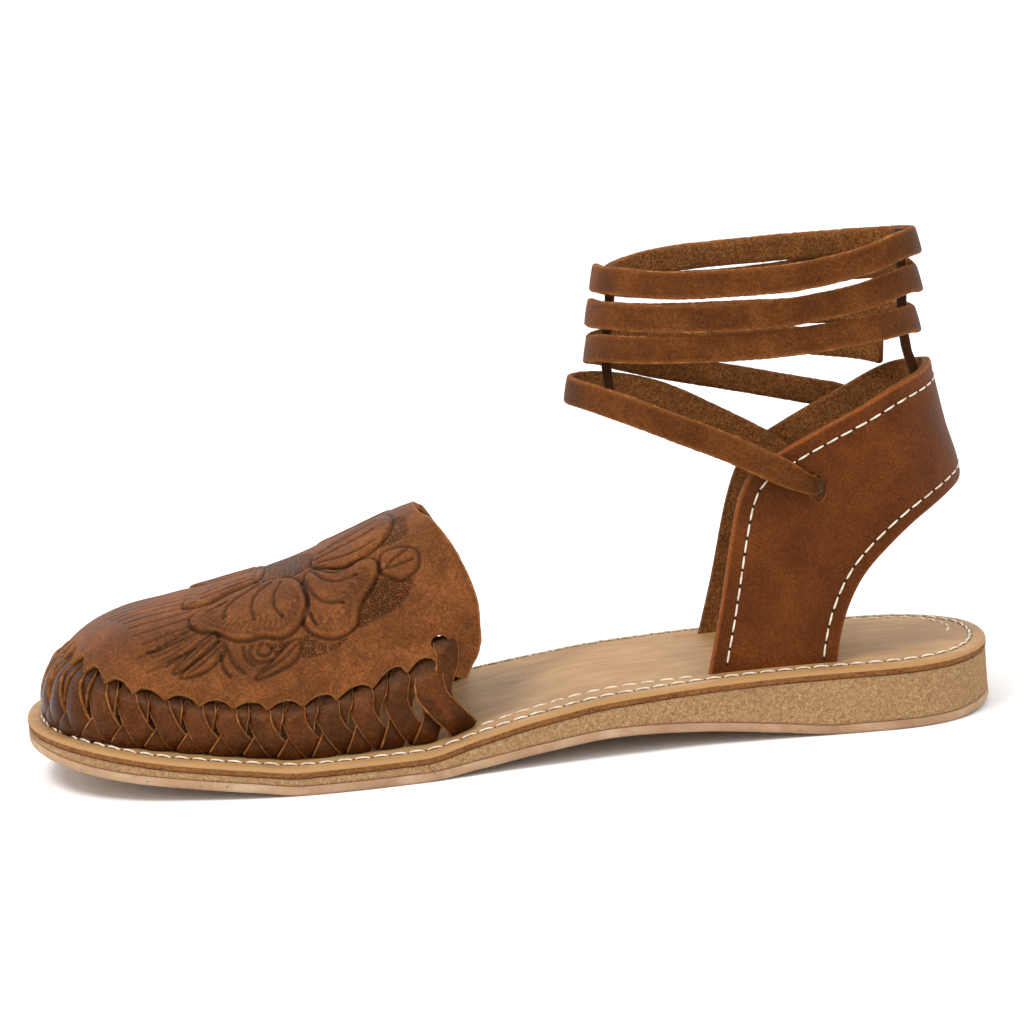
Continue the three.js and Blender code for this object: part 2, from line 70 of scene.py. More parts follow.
# x, inset of the base line, ridge height, seam height, swell, squareness
VAMP = [
    (-214.6, 6, 37.6, 33.4, 1.2, 3),
    (-205, 7.2, 40.4, 31.6, 1.4, 3),
    (-194, 9, 42.4, 28.2, 2, 2.9),
    (-183, 10.2, 44.2, 25, 2.6, 2.75),
    (-168, 10.5, 47.3, 22.2, 3.4, 2.6),
    (-150, 10.8, 51.7, 20.8, 4, 2.45),
    (-133, 11.5, 57.6, 22.4, 4.6, 2.35),
    (-117, 12.8, 63.9, 26.5, 5, 2.3),
    (-102, 14, 67.6, 23.5, 5, 2.3),
]
VAMP_TIP = -214.6
VAMP_TURN = -183
VAMP_REAR = -102
RIDGE_Y = 1.5
TOE_POWER = 2.35
TOE_PART = 0.46
# rise, x of the rear edge on the outer and on the inner side
THROAT = [
    (0, -102, -104),
    (0.2, -102.6, -106.4),
    (0.27, -101, -106.2),
    (0.34, -98.6, -105),
    (0.42, -97.6, -104.2),
    (0.53, -97.6, -104),
    (0.64, -98.9, -105),
    (0.75, -101.4, -106.8),
    (0.84, -104.2, -108.6),
    (0.94, -108.4, -111),
    (0.985, -112, -112.8),
    (1, -113, -113),
]

CUFF_Y = 1.5
CUFF_FRONT = -40
CUFF_WALL = 2.4
# from and to along the foot, and the play round the cuff's foot
SLOT = (-45.5, -2.8)
SLOT_PLAY = 0.7
# run, wrap on the outer and on the inner side, height
CUFF_LEADING = [
    (0, 0.005, 0.005, 13),
    (0.13, 0.06, 0.07, 32),
    (0.32, 0.12, 0.14, 55),
    (0.42, 0.15, 0.18, 63.6),
    (0.5, 0.2, 0.24, 69.8),
    (0.58, 0.3, 0.34, 74.5),
    (0.7, 0.5, 0.535, 81.9),
    (0.84, 0.74, 0.76, 89.4),
    (1, 1, 1, 92.4),
]
# run, wrap, height
CUFF_TRAILING = [
    (0, 0.39, 13),
    (0.15, 0.425, 27.4),
    (0.32, 0.485, 38.8),
    (0.5, 0.59, 48.4),
    (0.66, 0.7, 54.7),
    (0.82, 0.84, 59.1),
    (1, 1, 61.5),
]
# height, half width, back
CUFF_PLAN = [
    (15, 25.5, 32),
    (45, 25, 33),
    (62, 23.8, 33),
    (76, 22.8, 30),
    (95, 22.4, 26.6),
]
HOLE = (-6.9, 64.4)
HOLE_REACH = (2.7, 3.9)

# height, front, back, half width of the ankle's oval
ANKLE = [
    (92, -63.4, 22.8, 24.5),
    (102.5, -63.2, 23.6, 25),
    (112.5, -62, 24.7, 25),
    (123, -59.6, 25.3, 25),
]
ANKLE_Y = 1
ANKLE_POWER = 2.35
STRAP = (7.2, 2.0)
# x, y, z, width
STRAP_LEAD = [
    (-6.2, -17.4, 64.6, 4.8),
    (-6.8, -20.7, 64.8, 4.8),
    (-9.4, -24.1, 65.9, 5.4),
    (-16.5, -24.4, 70.2, 7.2),
    (-31, -24.6, 78.2, 7.2),
    (-46, -22.2, 85, 7.2),
    (-58, -15, 89.6, 7.2),
    (-66.4, -6.5, 91.8, 7.2),
    (-69.3, 1.5, 92.2, 7.2),
    (-65.4, 9, 91.8, 7.2),
    (-55, 14.6, 89.6, 7.2),
    (-43.5, 18.5, 85.2, 7.2),
    (-28, 20, 76.4, 7.2),
    (-17.5, 20.2, 70, 7.2),
    (-9.6, 20.4, 64.9, 5),
    (-7.4, 23.7, 64.3, 4.6),
    (-4.8, 27.2, 64.2, 4.8),
    (1.5, 28, 64.8, 5.6),
    (8.6, 27.9, 67.6, 6.4),
    (11.2, 27.5, 73.4, 7),
    (6, 27.5, 79, 7.2),
    (-5, 27.6, 82.2, 7.2),
    (-24, 27.4, 87.2, 7.2),
    (-43, 24.6, 92.4, 7.2),
    (-53.6, 19.6, 96.4, 7.2),
]
# turn in degrees from the back by the inner side, height, tuck
STRAP_WOUND = [
    (155, 99.6, 0),
    (180, 102.2, 0),
    (205, 104.2, 0),
    (235, 104, 0),
    (270, 103.5, 0),
    (300, 104.2, 0),
    (335, 105, 0),
    (360, 103.4, 0),
    (390, 103.6, 0),
    (440, 104.6, 0.4),
    (480, 106.4, 0),
    (515, 109.6, 0),
    (540, 112.2, 0),
    (570, 112.8, 0),
    (600, 111.9, 0),
    (630, 111.2, 0),
    (660, 112.9, 0),
    (695, 115.6, 0),
    (720, 114.2, 0),
    (750, 116.2, 0),
    (785, 115.3, 0),
    (815, 114, 0),
    (845, 115.2, 0),
    (875, 118.6, 0),
    (900, 121.3, 0),
    (930, 121.8, 0),
    (960, 120.6, 0),
    (990, 120.2, 0),
    (1020, 122, 0),
    (1055, 125.2, 0),
    (1080, 124.4, 0.3),
    (1110, 123.2, 1.6),
    (1150, 122.4, 2.4),
    (1200, 121.8, 2.4),
    (1235, 120.2, 2.4),
    (1252, 119.6, 2.5),
]
STRAP_TAIL = [
    (28, 93.8, 3.6),
    (60, 95.6, 2.6),
    (90, 98.4, 2.5),
    (125, 100.8, 2.4),
    (155, 102.2, 1.6),
    (180, 102.6, 0.6),
]
KEEPER = (3.4, 2.6)
BACK_KEEPER = [(21.2, 127.5), (21, 116), (20.4, 104), (21, 96), (23, 88), (23.8, 82)]
FRONT_KEEPER = [(-55.4, 124), (-56.6, 114), (-58.2, 104), (-58.6, 96), (-58.2, 91)]

# ---------------------------------------------------------------- camera

VIEW_TARGET = Vector((-86.8, 0, 60.5)) * MM
VIEW_DISTANCE = 1080 * MM
VIEW_ELEVATION = math.radians(11)
VIEW_ROLL = math.radians(4.8)
VIEW_LENS = 142.4


def make_camera():
    data = bpy.data.cameras.new("camera")
    data.lens = VIEW_LENS
    data.sensor_width = 36
    data.clip_end = 50
    camera = bpy.data.objects.new("camera", data)
    bpy.context.scene.collection.objects.link(camera)
    back = Vector((0, -math.cos(VIEW_ELEVATION), math.sin(VIEW_ELEVATION)))
    turn = (-back).to_track_quat("-Z", "Y").to_matrix() @ Matrix.Rotation(-VIEW_ROLL, 3, "Z")
    camera.matrix_world = Matrix.Translation(VIEW_TARGET + back * VIEW_DISTANCE) @ turn.to_4x4()
    bpy.context.scene.camera = camera


make_camera()

# ---------------------------------------------------------------- curves and sheets


def smoothstep(t):
    t = np.clip(t, 0, 1)
    return t * t * (3 - 2 * t)


def mix(a, b, t):
    return a + (b - a) * t


def powered(value, power):
    """A power that keeps the sign of its base."""
    return np.sign(value) * np.abs(value) ** power


def circle(count):
    """The cosines and sines of equal steps round a circle, as two columns."""
    turn = np.linspace(0, 2 * np.pi, count, endpoint=False)
    return np.cos(turn)[:, None], np.sin(turn)[:, None]


def curve(rows, column=1):
    """A smooth curve through one column of a table, which never overshoots its rows."""
    x, y = np.array(rows, float)[:, [0, column]].T
    rise = np.diff(y) / np.diff(x)
    same = rise[:-1] * rise[1:] > 0
    total = np.where(same, rise[:-1] + rise[1:], 1)
    inner = np.where(same, 2 * rise[:-1] * rise[1:] / total, 0)
    slope = np.concatenate([rise[:1], inner, rise[-1:]])

    def at(value):
        v = np.clip(value, x[0], x[-1])
        i = np.clip(np.searchsorted(x, v, side="right") - 1, 0, len(rise) - 1)
        h = x[i + 1] - x[i]
        t = (v - x[i]) / h
        u = 1 - t
        ends = u * u * (1 + 2 * t) * y[i] + t * t * (3 - 2 * t) * y[i + 1]
        return ends + t * u * h * (u * slope[i] - t * slope[i + 1])

    return at


def unit(vectors):
    length = np.linalg.norm(vectors, axis=-1, keepdims=True)
    return vectors / np.maximum(length, 1e-9)


def lengths(line, power=1):
    """The length along a polyline up to each of its points."""
    return np.concatenate([[0], np.cumsum(np.linalg.norm(np.diff(line, axis=0), axis=1) ** power)])


def between_rows(at, along, rows):
    """Rows of numbers at any places, from rows at the places along."""
    return np.stack([np.interp(at, along, rows[:, k]) for k in range(rows.shape[1])], axis=-1)


def resample(points, count, closed=False):
    """Points at equal distances along a polyline."""
    line = np.vstack([points, points[:1]]) if closed else np.array(points, float)
    along = lengths(line)
    return between_rows(np.linspace(0, along[-1], count, endpoint=not closed), along, line)


def smooth(points, passes, closed=False):
    """Softens the kinks of a polyline."""
    for _ in range(passes):
        if closed:
            points = (np.roll(points, 1, axis=0) + 2 * points + np.roll(points, -1, axis=0)) / 4
        else:
            points[1:-1] = (points[:-2] + 2 * points[1:-1] + points[2:]) / 4
    return points


def spline(points, count):
    """A centripetal Catmull-Rom curve through the points, sampled at equal distances."""
    p = np.vstack([2 * points[0] - points[1], points, 2 * points[-1] - points[-2]])
    found = []
    for i in range(1, len(p) - 2):
        q = p[i - 1 : i + 3]
        knots = lengths(q, 0.5)
        t = np.linspace(knots[1], knots[2], 24, endpoint=False)[:, None]

        def between(a, b, ta, tb):
            return (tb - t) / (tb - ta) * a + (t - ta) / (tb - ta) * b

        a = [between(q[k], q[k + 1], knots[k], knots[k + 1]) for k in range(3)]
        b = [between(a[k], a[k + 1], knots[k], knots[k + 2]) for k in range(2)]
        found.append(between(b[0], b[1], knots[1], knots[2]))
    found.append(p[-2:-1])
    return resample(np.vstack(found), count)


def weld(grid):
    """The distinct points of a grid, and the index of each grid place among them."""
    flat = grid.reshape(-1, 3)
    _, first, ids = np.unique(np.round(flat, 3), axis=0, return_index=True, return_inverse=True)
    return flat[first], ids.reshape(grid.shape[:2])


def cells(ids, wrap=False):
    """The faces of a grid of indices, without those that have no area."""
    if wrap:
        ids = np.concatenate([ids, ids[:, :1]], axis=1)
    quads = np.stack([ids[:-1, :-1], ids[1:, :-1], ids[1:, 1:], ids[:-1, 1:]], axis=-1).reshape(-1, 4)
    faces = []
    for quad in quads.tolist():
        kept = [v for k, v in enumerate(quad) if v != quad[k - 1]]
        if len(set(kept)) > 2:
            faces.append(kept)
    return faces


def normals_of(points, faces):
    total = np.zeros_like(points)
    for size in (3, 4):
        picked = np.array([f for f in faces if len(f) == size])
        if len(picked):
            p = points[picked]
            area = np.cross(p[:, 1] - p[:, 0], p[:, 2] - p[:, 0])
            if size == 4:
                area += np.cross(p[:, 2] - p[:, 0], p[:, 3] - p[:, 0])
            for k in range(size):
                np.add.at(total, picked[:, k], area)
    return unit(total)


def wobble(points, scale, seed):
    """A smooth, seeded unevenness from -1 to 1."""
    rand = np.random.default_rng(seed)
    total = 0
    for octave in range(3):
        way = rand.normal(size=(4, 3)) * (1.9**octave) / scale
        phase = rand.uniform(0, 2 * np.pi, 4)
        total = total + sum(np.sin(points @ w + f) for w, f in zip(way, phase)) / (4 * 1.6**octave)
    return total / 1.4


def mark(data, name, values, kind="FLOAT", key="value"):
    """Gives each point of a mesh a value that its material reads."""
    data.attributes.new(name, kind, "POINT").data.foreach_set(key, np.asarray(values, np.float32).ravel())


def make(name, points, faces, materials, slots=None, values=None):
    """A mesh object from millimetres. slots gives each face's material, values each point's tone."""
    data = bpy.data.meshes.new(name)
    data.from_pydata((np.asarray(points) * MM).tolist(), [], [list(f) for f in faces])
    for material in materials:
        data.materials.append(material)
    if slots is not None:
        data.polygons.foreach_set("material_index", np.asarray(slots, np.int32))
    if values is not None:
        mark(data, "tone", values)
    data.polygons.foreach_set("use_smooth", np.ones(len(faces), bool))
    data.validate()
    item = bpy.data.objects.new(name, data)
    bpy.context.scene.collection.objects.link(item)
    return item


def place(item, slot, *replaced):
    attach(item, "root")
    if replaced:
        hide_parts(*replaced)
    return item


class Parts:
    """Several closed shapes gathered into one mesh."""

    def __init__(self):
        self.points, self.faces, self.slots, self.values = [], [], [], []
        self.count = 0

    def add(self, points, faces, slot=0, value=0.0):
        self.points.append(np.asarray(points))
        self.faces += [[v + self.count for v in f] for f in faces]
        self.slots += list(slot) if np.ndim(slot) else [slot] * len(faces)
        self.values.append(np.broadcast_to(value, len(points)))
        self.count += len(points)

    def make(self, name, materials):
        points, values = np.vstack(self.points), np.concatenate(self.values)
        return make(name, points, self.faces, materials, self.slots, values)


def tube_slots(column, rings, ends):
    """Each face's material in a tube whose rings share a column of materials, with plain ends."""
    return list(column) * (len(rings) - 1) + [ends] * 2 * len(column)


def tube(rings):
    """A closed body through rings of points, capped with a middle point at each end."""
    n, m = rings.shape[:2]
    ids = np.arange(n * m).reshape(n, m)
    faces = cells(ids, wrap=True)
    ends = [n * m, n * m + 1]
    for k in range(m):
        faces.append([ids[0, k], ids[0, (k + 1) % m], ends[0]])
        faces.append([ids[-1, (k + 1) % m], ids[-1, k], ends[1]])
    return np.vstack([rings.reshape(-1, 3), rings[0].mean(0), rings[-1].mean(0)]), faces


# ---------------------------------------------------------------- materials


def srgb(red, green, blue):
    """A linear colour from a 0 to 255 one."""
    c = np.array([red, green, blue]) / 255
    linear = np.where(c <= 0.04045, c / 12.92, ((c + 0.055) / 1.055) ** 2.4)
    return (*linear.tolist(), 1)


def scaled(colour, by):
    """A linear colour made darker or lighter."""
    return (*(min(1, by * c) for c in colour[:3]), 1)


WHITE, GREY, BLACK = (1, 1, 1, 1), (0.55, 0.55, 0.55, 1), (0, 0, 0, 1)


class Finish:
    """A material under construction. Its lengths are millimetres in the object's own space."""

    def __init__(self, name, roughness, specular=0.5):
        self.material = bpy.data.materials.new(name)
        self.material.use_nodes = True
        self.tree = self.material.node_tree
        self.shader = self.tree.nodes["Principled BSDF"]
        self.shader.inputs["Roughness"].default_value = roughness
        self.shader.inputs["Specular IOR Level"].default_value = specular
        self.space = self.stretched(1, 1, 1)
        self.colour = None
        self.relief = None

    def node(self, kind, inputs=(), **settings):
        node = self.tree.nodes.new(kind)
        for key, value in settings.items():
            setattr(node, key, value)
        for key, value in dict(inputs).items():
            if isinstance(value, bpy.types.NodeSocket):
                self.tree.links.new(value, node.inputs[key])
            else:
                node.inputs[key].default_value = value
        return node

    def stretched(self, x, y, z):
        place = self.node("ShaderNodeTexCoord").outputs["Object"]
        scale = (x * 1000, y * 1000, z * 1000)
        return self.node("ShaderNodeMapping", {"Vector": place, "Scale": scale}).outputs[0]

    def noise(self, scale, detail=4, roughness=0.55, distortion=0, space=None):
        inputs = {"Vector": space or self.space, "Scale": scale, "Detail": detail}
        inputs |= {"Roughness": roughness, "Distortion": distortion}
        return self.node("ShaderNodeTexNoise", inputs).outputs[0]

    def attribute(self, name, output="Fac"):
        return self.node("ShaderNodeAttribute", attribute_name=name).outputs[output]

    def maths(self, operation, a, b=0.0):
        return self.node("ShaderNodeMath", {0: a, 1: b}, operation=operation).outputs[0]

    def average(self, a, b, share):
        """Two values together: a share of the first and the rest of the second."""
        return self.maths("ADD", self.maths("MULTIPLY", a, share), self.maths("MULTIPLY", b, 1 - share))

    def spread(self, value, low, high, to_low=0.0, to_high=1.0):
        inputs = {0: value, 1: low, 2: high, 3: to_low, 4: to_high}
        return self.node("ShaderNodeMapRange", inputs).outputs[0]

    def ramp(self, value, *stops):
        node = self.node("ShaderNodeValToRGB", {0: value})
        elements = node.color_ramp.elements
        while len(elements) < len(stops):
            elements.new(0.5)
        for element, (position, colour) in zip(elements, stops):
            element.position = position
            element.color = colour
        return node.outputs[0]

    def paint(self, value, *stops):
        """The ground colour: 0 to 255 colours at places of a value."""
        self.colour = self.ramp(value, *[(position, srgb(*colour)) for position, colour in stops])

    def cover(self, factor, colour, kind="MIX"):
        """Lays a colour over what is there."""
        inputs = {0: factor, 6: self.colour, 7: colour}
        node = self.node("ShaderNodeMix", inputs, data_type="RGBA", blend_type=kind)
        self.colour = node.outputs[2]

    def stain(self, colour, value, *limits):
        """Covers with a 0 to 255 colour, as far as the spread of a value says."""
        self.cover(self.spread(value, *limits), srgb(*colour))

    def bump(self, height, distance, strength=1.0):
        inputs = {"Height": height, "Distance": distance * MM, "Strength": strength}
        if self.relief is not None:
            inputs["Normal"] = self.relief
        self.relief = self.node("ShaderNodeBump", inputs).outputs[0]

    def set(self, roughness=None):
        self.tree.links.new(self.colour, self.shader.inputs["Base Color"])
        if roughness is not None:
            self.tree.links.new(roughness, self.shader.inputs["Roughness"])
        if self.relief is not None:
            self.tree.links.new(self.relief, self.shader.inputs["Normal"])
        return self.material


def leather(name, dark, middle, light, shine, gloss=0.2, grain=1.0):
    """Waxed, mottled, finely grained leather, darker where tone is low and paler where it is high."""
    f = Finish(name, shine, gloss)
    f.shader.inputs["Specular Tint"].default_value = srgb(255, 205, 160)
    mottle = f.noise(0.07, 5, 0.6, 0.4)
    fine = f.noise(1.0 * grain, 5, 0.7, 0.5)
    grit = f.noise(2.3 * grain, 3, 0.65)
    creases = f.noise(0.5 * grain, 5, 0.66, 1.6)
    value = f.average(mottle, fine, 0.6)
    f.paint(value, (0.38, dark), (0.5, middle), (0.62, light))
    tone = f.attribute("tone")
    groove = scaled(srgb(*dark), 0.3)
    # Low tone darkens toward a near-black. On the tooled cuts this is their own darker colour plus painted
    # shade in them. On the woven strips it is painted shade where they sink under others and along their
    # bowed edges.
    f.cover(f.spread(tone, -0.03, -1.0), groove)
    # High tone pales the leather. This is real wear and pale cut edges, plus a painted highlight along the
    # tooled cuts.
    wear_and_highlight = f.maths("MULTIPLY", f.spread(tone, 0.05, 1.0), f.spread(fine, 0.3, 0.65, 0.5, 1.0))
    f.cover(wear_and_highlight, scaled(srgb(*light), 2.2))
    f.cover(1.0, f.spread(grit, 0.34, 0.66, 0.6, 1.26), "MULTIPLY")
    f.cover(1.0, f.spread(creases, 0.34, 0.66, 0.8, 1.14), "MULTIPLY")
    # The punched background: close rings, only where the stipple attribute says so. The dark of the rings is
    # the punched pattern together with painted shade in its hollows.
    punched = f.attribute("stipple")
    inputs = {"Vector": f.attribute("flat", "Vector"), "Scale": 0.7, "Randomness": 0.55}
    rings = f.node("ShaderNodeTexVoronoi", inputs, voronoi_dimensions="2D").outputs["Distance"]
    profile = f.ramp(rings, (0.16, WHITE), (0.26, BLACK), (0.36, BLACK), (0.5, GREY))
    f.cover(f.maths("MULTIPLY", punched, f.spread(profile, 0.7, 0.0, 0.0, 0.72)), groove)
    f.bump(creases, 0.4, 0.45)
    f.bump(fine, 0.3, 0.6)
    f.bump(grit, 0.14, 0.6)
    f.bump(f.maths("MULTIPLY", punched, profile), 0.55, 1.0)
    return f.set(f.spread(value, 0.4, 0.65, shine - 0.08, shine + 0.12))


def make_flesh():
    """The rough back of the leather."""
    f = Finish("flesh_side", 0.9, 0.1)
    fibre = f.noise(1.6, 8, 0.75, 0.6)
    flecks = f.noise(3.2, 3, 0.6, 1.0)
    f.paint(fibre, (0.36, (66, 38, 16)), (0.5, (124, 78, 38)), (0.64, (176, 120, 68)))
    f.stain((78, 44, 20), f.noise(0.16, 4, 0.6), 0.35, 0.7, 0.0, 0.45)
    f.stain((168, 116, 70), flecks, 0.64, 0.76, 0.0, 0.6)
    f.bump(fibre, 0.5, 0.7)
    f.bump(flecks, 0.25, 0.6)
    return f.set()


def make_raw_edge(name, dark, light, fleck):
    """A cut edge, where the fibres of the leather show."""
    f = Finish(name, 0.85, 0.1)
    fibre = f.noise(2.4, 7, 0.75, 0.8)
    f.paint(fibre, (0.34, dark), (0.66, light))
    f.stain(fleck, f.noise(0.35, 4, 0.6), 0.5, 0.72, 0.0, 0.75)
    f.bump(fibre, 0.4, 0.8)
    return f.set()


def make_burnish():
    """The darkened, rubbed edge of the insole."""
    f = Finish("burnished_edge", 0.75, 0.15)
    fibre = f.noise(1.5, 8, 0.78, 1.2, f.stretched(0.55, 0.55, 1.4))
    f.paint(fibre, (0.32, (66, 36, 16)), (0.46, (122, 74, 36)), (0.6, (168, 112, 62)))
    f.stain((190, 122, 58), f.noise(2.2, 4, 0.6, 0.5), 0.6, 0.72, 0.0, 0.8)
    f.stain((160, 112, 66), f.noise(0.11, 3, 0.6), 0.42, 0.72, 0.0, 0.45)
    f.bump(fibre, 0.9, 0.9)
    return f.set()


def make_insole_top():
    """Natural leather, pale and lightly streaked along the foot."""
    f = Finish("natural_leather", 0.55, 0.2)
    streak = f.noise(0.22, 6, 0.62, 1.1, f.stretched(0.22, 1, 1))
    cloud = f.noise(0.035, 4, 0.55, 0.5)
    fine = f.noise(1.3, 5, 0.7)
    scars = f.noise(0.5, 5, 0.7, 2.2, f.stretched(0.2, 1, 1))
    value = f.average(streak, cloud, 0.55)
    f.paint(value, (0.36, (144, 107, 66)), (0.5, (166, 127, 82)), (0.64, (184, 144, 97)))
    f.stain((146, 104, 66), scars, 0.66, 0.76, 0.0, 0.5)
    f.stain((120, 84, 52), fine, 0.35, 0.7, 0.12, 0.0)
    tone = f.attribute("tone")
    f.stain((164, 122, 76), tone, 0.0, 1.0)
    f.stain((104, 66, 34), tone, 0.0, -1.0)
    f.bump(streak, 0.5, 0.3)
    f.bump(fine, 0.1, 0.5)
    f.bump(scars, 0.2, 0.3)
    return f.set(f.spread(fine, 0.3, 0.7, 0.42, 0.6))


def make_board():
    """Sanded tan board with a fine speckle."""
    f = Finish("sanded_board", 0.9, 0.2)
    value = f.average(f.noise(2.6, 5, 0.75, 0.5), f.noise(1.1, 5, 0.7), 0.6)
    f.paint(value, (0.38, (108, 78, 50)), (0.5, (152, 118, 80)), (0.62, (194, 158, 116)))
    f.stain((136, 105, 72), f.noise(0.05, 4, 0.6), 0.4, 0.65, 0.0, 0.25)
    # Low tone: painted shade in the seams between the layers.
    f.stain((92, 62, 38), f.attribute("tone"), 0.0, -1.0)
    f.bump(value, 0.35, 0.7)
    return f.set()


def make_crepe():
    """The smooth, pale, slightly pink bottom layer, with small pores."""
    f = Finish("crepe", 0.75, 0.3)
    fine = f.noise(1.2, 5, 0.65)
    pores = f.node("ShaderNodeTexVoronoi", {"Vector": f.space, "Scale": 0.32}).outputs["Distance"]
    cloud = f.noise(0.06, 5, 0.6, 0.6)
    f.paint(cloud, (0.35, (150, 117, 88)), (0.5, (168, 134, 103)), (0.68, (186, 156, 126)))
    f.stain((150, 112, 80), fine, 0.3, 0.62, 0.3, 0.0)
    f.stain((104, 70, 44), pores, 0.06, 0.1, 0.6, 0.0)
    # Low tone: painted shade in the seam and on the underside.
    f.stain((120, 84, 54), f.attribute("tone"), 0.0, -1.0)
    f.bump(fine, 0.2, 0.5)
    f.bump(f.spread(pores, 0.04, 0.12), 0.3, 0.6)
    return f.set()


def make_thread():
    f = Finish("waxed_thread", 0.55, 0.4)
    twist = f.node("ShaderNodeTexWave", {"Vector": f.space, "Scale": 0.55, "Distortion": 1.5, "Detail": 2})
    f.paint(f.noise(0.5, 4, 0.7), (0.35, (186, 170, 142)), (0.6, (232, 222, 204)))
    f.bump(twist.outputs["Fac"], 0.12, 0.6)
    return f.set()


def make_needle_hole_shade():
    f = Finish("needle_hole_shade", 0.9, 0.2)
    # Painted shade for the needle holes and the insole's slot walls: a near-black brown.
    dark = srgb(38, 22, 12)
    f.colour = f.ramp(f.noise(1.5, 4, 0.6), (0.3, dark), (0.7, scaled(dark, 1.3)))
    return f.set()


M_VAMP = leather("tooled_leather", (78, 42, 17), (102, 56, 25), (128, 75, 38), 0.5)
M_LACE = leather("lacing_leather", (46, 18, 3), (68, 31, 7), (94, 48, 16), 0.36, 0.3, 0.8)
M_CUFF = leather("cuff_leather", (74, 34, 10), (89, 43, 14), (104, 54, 21), 0.52, 0.18, 1.3)
M_STRAP = leather("strap_leather", (68, 34, 10), (87, 46, 16), (108, 61, 27), 0.6, 0.16, 1.2)
M_THONG = leather("thong_leather", (40, 21, 9), (58, 31, 14), (78, 45, 22), 0.6, 0.15, 1.2)
M_FLESH = make_flesh()
M_EDGE = make_raw_edge("cut_edge", (112, 66, 28), (172, 116, 62), (92, 50, 20))
M_STRAP_EDGE = make_raw_edge("strap_edge", (84, 46, 18), (148, 90, 44), (180, 122, 68))
M_INSOLE = make_insole_top()
M_BURNISH = make_burnish()
M_BOARD = make_board()
M_CREPE = make_crepe()
M_THREAD = make_thread()
M_PAINTED_SHADE = make_needle_hole_shade()

# ---------------------------------------------------------------- sole

sole_mid = curve(SOLE, 1)
sole_half = curve(SOLE, 2)
sole_under = curve(SOLE, 3)
sole_total = curve(SOLE, 4)


def sole_top(x):
    return sole_under(x) + sole_total(x)


def cap_at(x):
    def part(cap, away):
        t = np.clip(1 - away / cap[0], 0, 1)
        return (1 - t ** cap[1]) ** (1 / cap[1])

    return np.minimum(part(TOE_CAP, x - TOE), part(HEEL_CAP, HEEL - x))


def sole_edge(x, side):
    return sole_mid(x) + side * sole_half(x) * cap_at(x)


def make_outline(count):
    """The sole's outline from the tip of the toe by the outer side, and its inward direction."""
    x = mix(TOE, HEEL, (1 - np.cos(np.pi * np.linspace(0, 1, 900))) / 2)
    outer = np.stack([x, sole_edge(x, -1)], axis=1)
    inner = np.stack([x, sole_edge(x, 1)], axis=1)[::-1]
    line = resample(np.vstack([outer, inner[1:-1]]), count, closed=True)
    line = smooth(line, 14, closed=True)
    along = np.roll(line, -1, axis=0) - np.roll(line, 1, axis=0)
    return line, unit(np.stack([-along[:, 1], along[:, 0]], axis=1))


OUTLINE, INWARD = make_outline(760)
# The fill of a layer closes on the sole's centre line, short of both round ends.
SPINE_X = np.clip(OUTLINE[:, 0], TOE + TOE_CAP[0], HEEL - HEEL_CAP[0])
SPINE = np.column_stack([SPINE_X, sole_mid(SPINE_X)])
FILL = [1.0, 0.75, 0.5, 0.25]
SEAM = 0.05


def make_layer(name, profile, height, materials, rough, *waves):
    """A closed layer of the sole. The profile holds (inset, drop, face, material, tone) from the top's
    inner ring round the edge to the bottom's. Its rough rows are made uneven by waves of (size, scale,
    seed)."""
    rows = [(*profile[0][:4], 0, fill) for fill in FILL]
    rows += [(*row, 0) for row in profile]
    rows += [(*profile[-1][:4], 0, fill) for fill in FILL[::-1]]
    rings = []
    for inset, drop, face, _, _, fill in rows:
        flat = mix(OUTLINE + INWARD * inset, SPINE, fill)
        rings.append(np.column_stack([flat, height(face, flat[:, 0]) + drop]))
    grid = np.array(rings)
    edge = grid[len(FILL) + rough[0] : len(FILL) + rough[1]]
    uneven = sum(size * wobble(edge, scale, seed) for size, scale, seed in waves)
    edge[..., :2] += INWARD * uneven[..., None]
    points, ids = weld(grid)
    tone = np.zeros(len(points))
    tone[ids] = np.array([row[4] for row in rows])[:, None]
    faces, slots = [], []
    for i, row in enumerate(rows[:-1]):
        band = cells(ids[i : i + 2], wrap=True)
        faces += band
        slots += [row[3]] * len(band)
    return make(name, points, faces, materials, slots, tone)


def insole_height(face, x):
    return sole_top(x) - (0 if face == "top" else INSOLE)


def midsole_height(face, x):
    return sole_top(x) - INSOLE - SEAM if face == "top" else sole_under(x) + OUTSOLE + SEAM


def outsole_height(face, x):
    return sole_under(x) + (OUTSOLE if face == "top" else 0)


def make_insole():
    top = [(9, 0), (7.2, 0), (6, -0.03), (5.2, -0.06)]
    channel = [(4.8, -0.12), (4.45, -0.24), (4.1, -0.3), (3.75, -0.26), (3.4, -0.17)]
    roll = [(2.8, -0.16), (2.1, -0.22), (1.4, -0.33), (0.8, -0.52), (0.35, -0.8), (0.1, -1.15)]
    profile = [(d, z, "top", 0, 0) for d, z in top]
    profile += [(d, z, "top", 0, -0.25) for d, z in channel]
    profile += [(d, z, "top", 0, tone) for (d, z), tone in zip(roll, (0, 0.1, 0.3, 0.6, 0.85, 1))]
    first_rough = len(profile)
    profile += [(0.02, -1.4, "top", 1, 0.4), (0.1, -1.6, "top", 1, 0), (0.12, -1.95, "top", 1, 0)]
    profile += [(d, z, "bottom", 1, 0) for d, z in [(0.1, 0.7), (0.2, 0.35), (0.55, 0.05), (1.5, 0)]]
    # The third material colours the slot walls: painted shade.
    materials = [M_INSOLE, M_BURNISH, M_PAINTED_SHADE]
    rough = (first_rough, len(profile) - 1)
    waves = [(0.16, 1.1, 3), (0.12, 3.5, 4)]
    insole = make_layer("insole_leather", profile, insole_height, materials, rough, *waves)
    for side in (-1, 1):
        cut_slot(insole, CUFF_Y + side * (CUFF_PLAN[0][1] - CUFF_WALL / 2), materials)
    return place(insole, "insole", "insole")


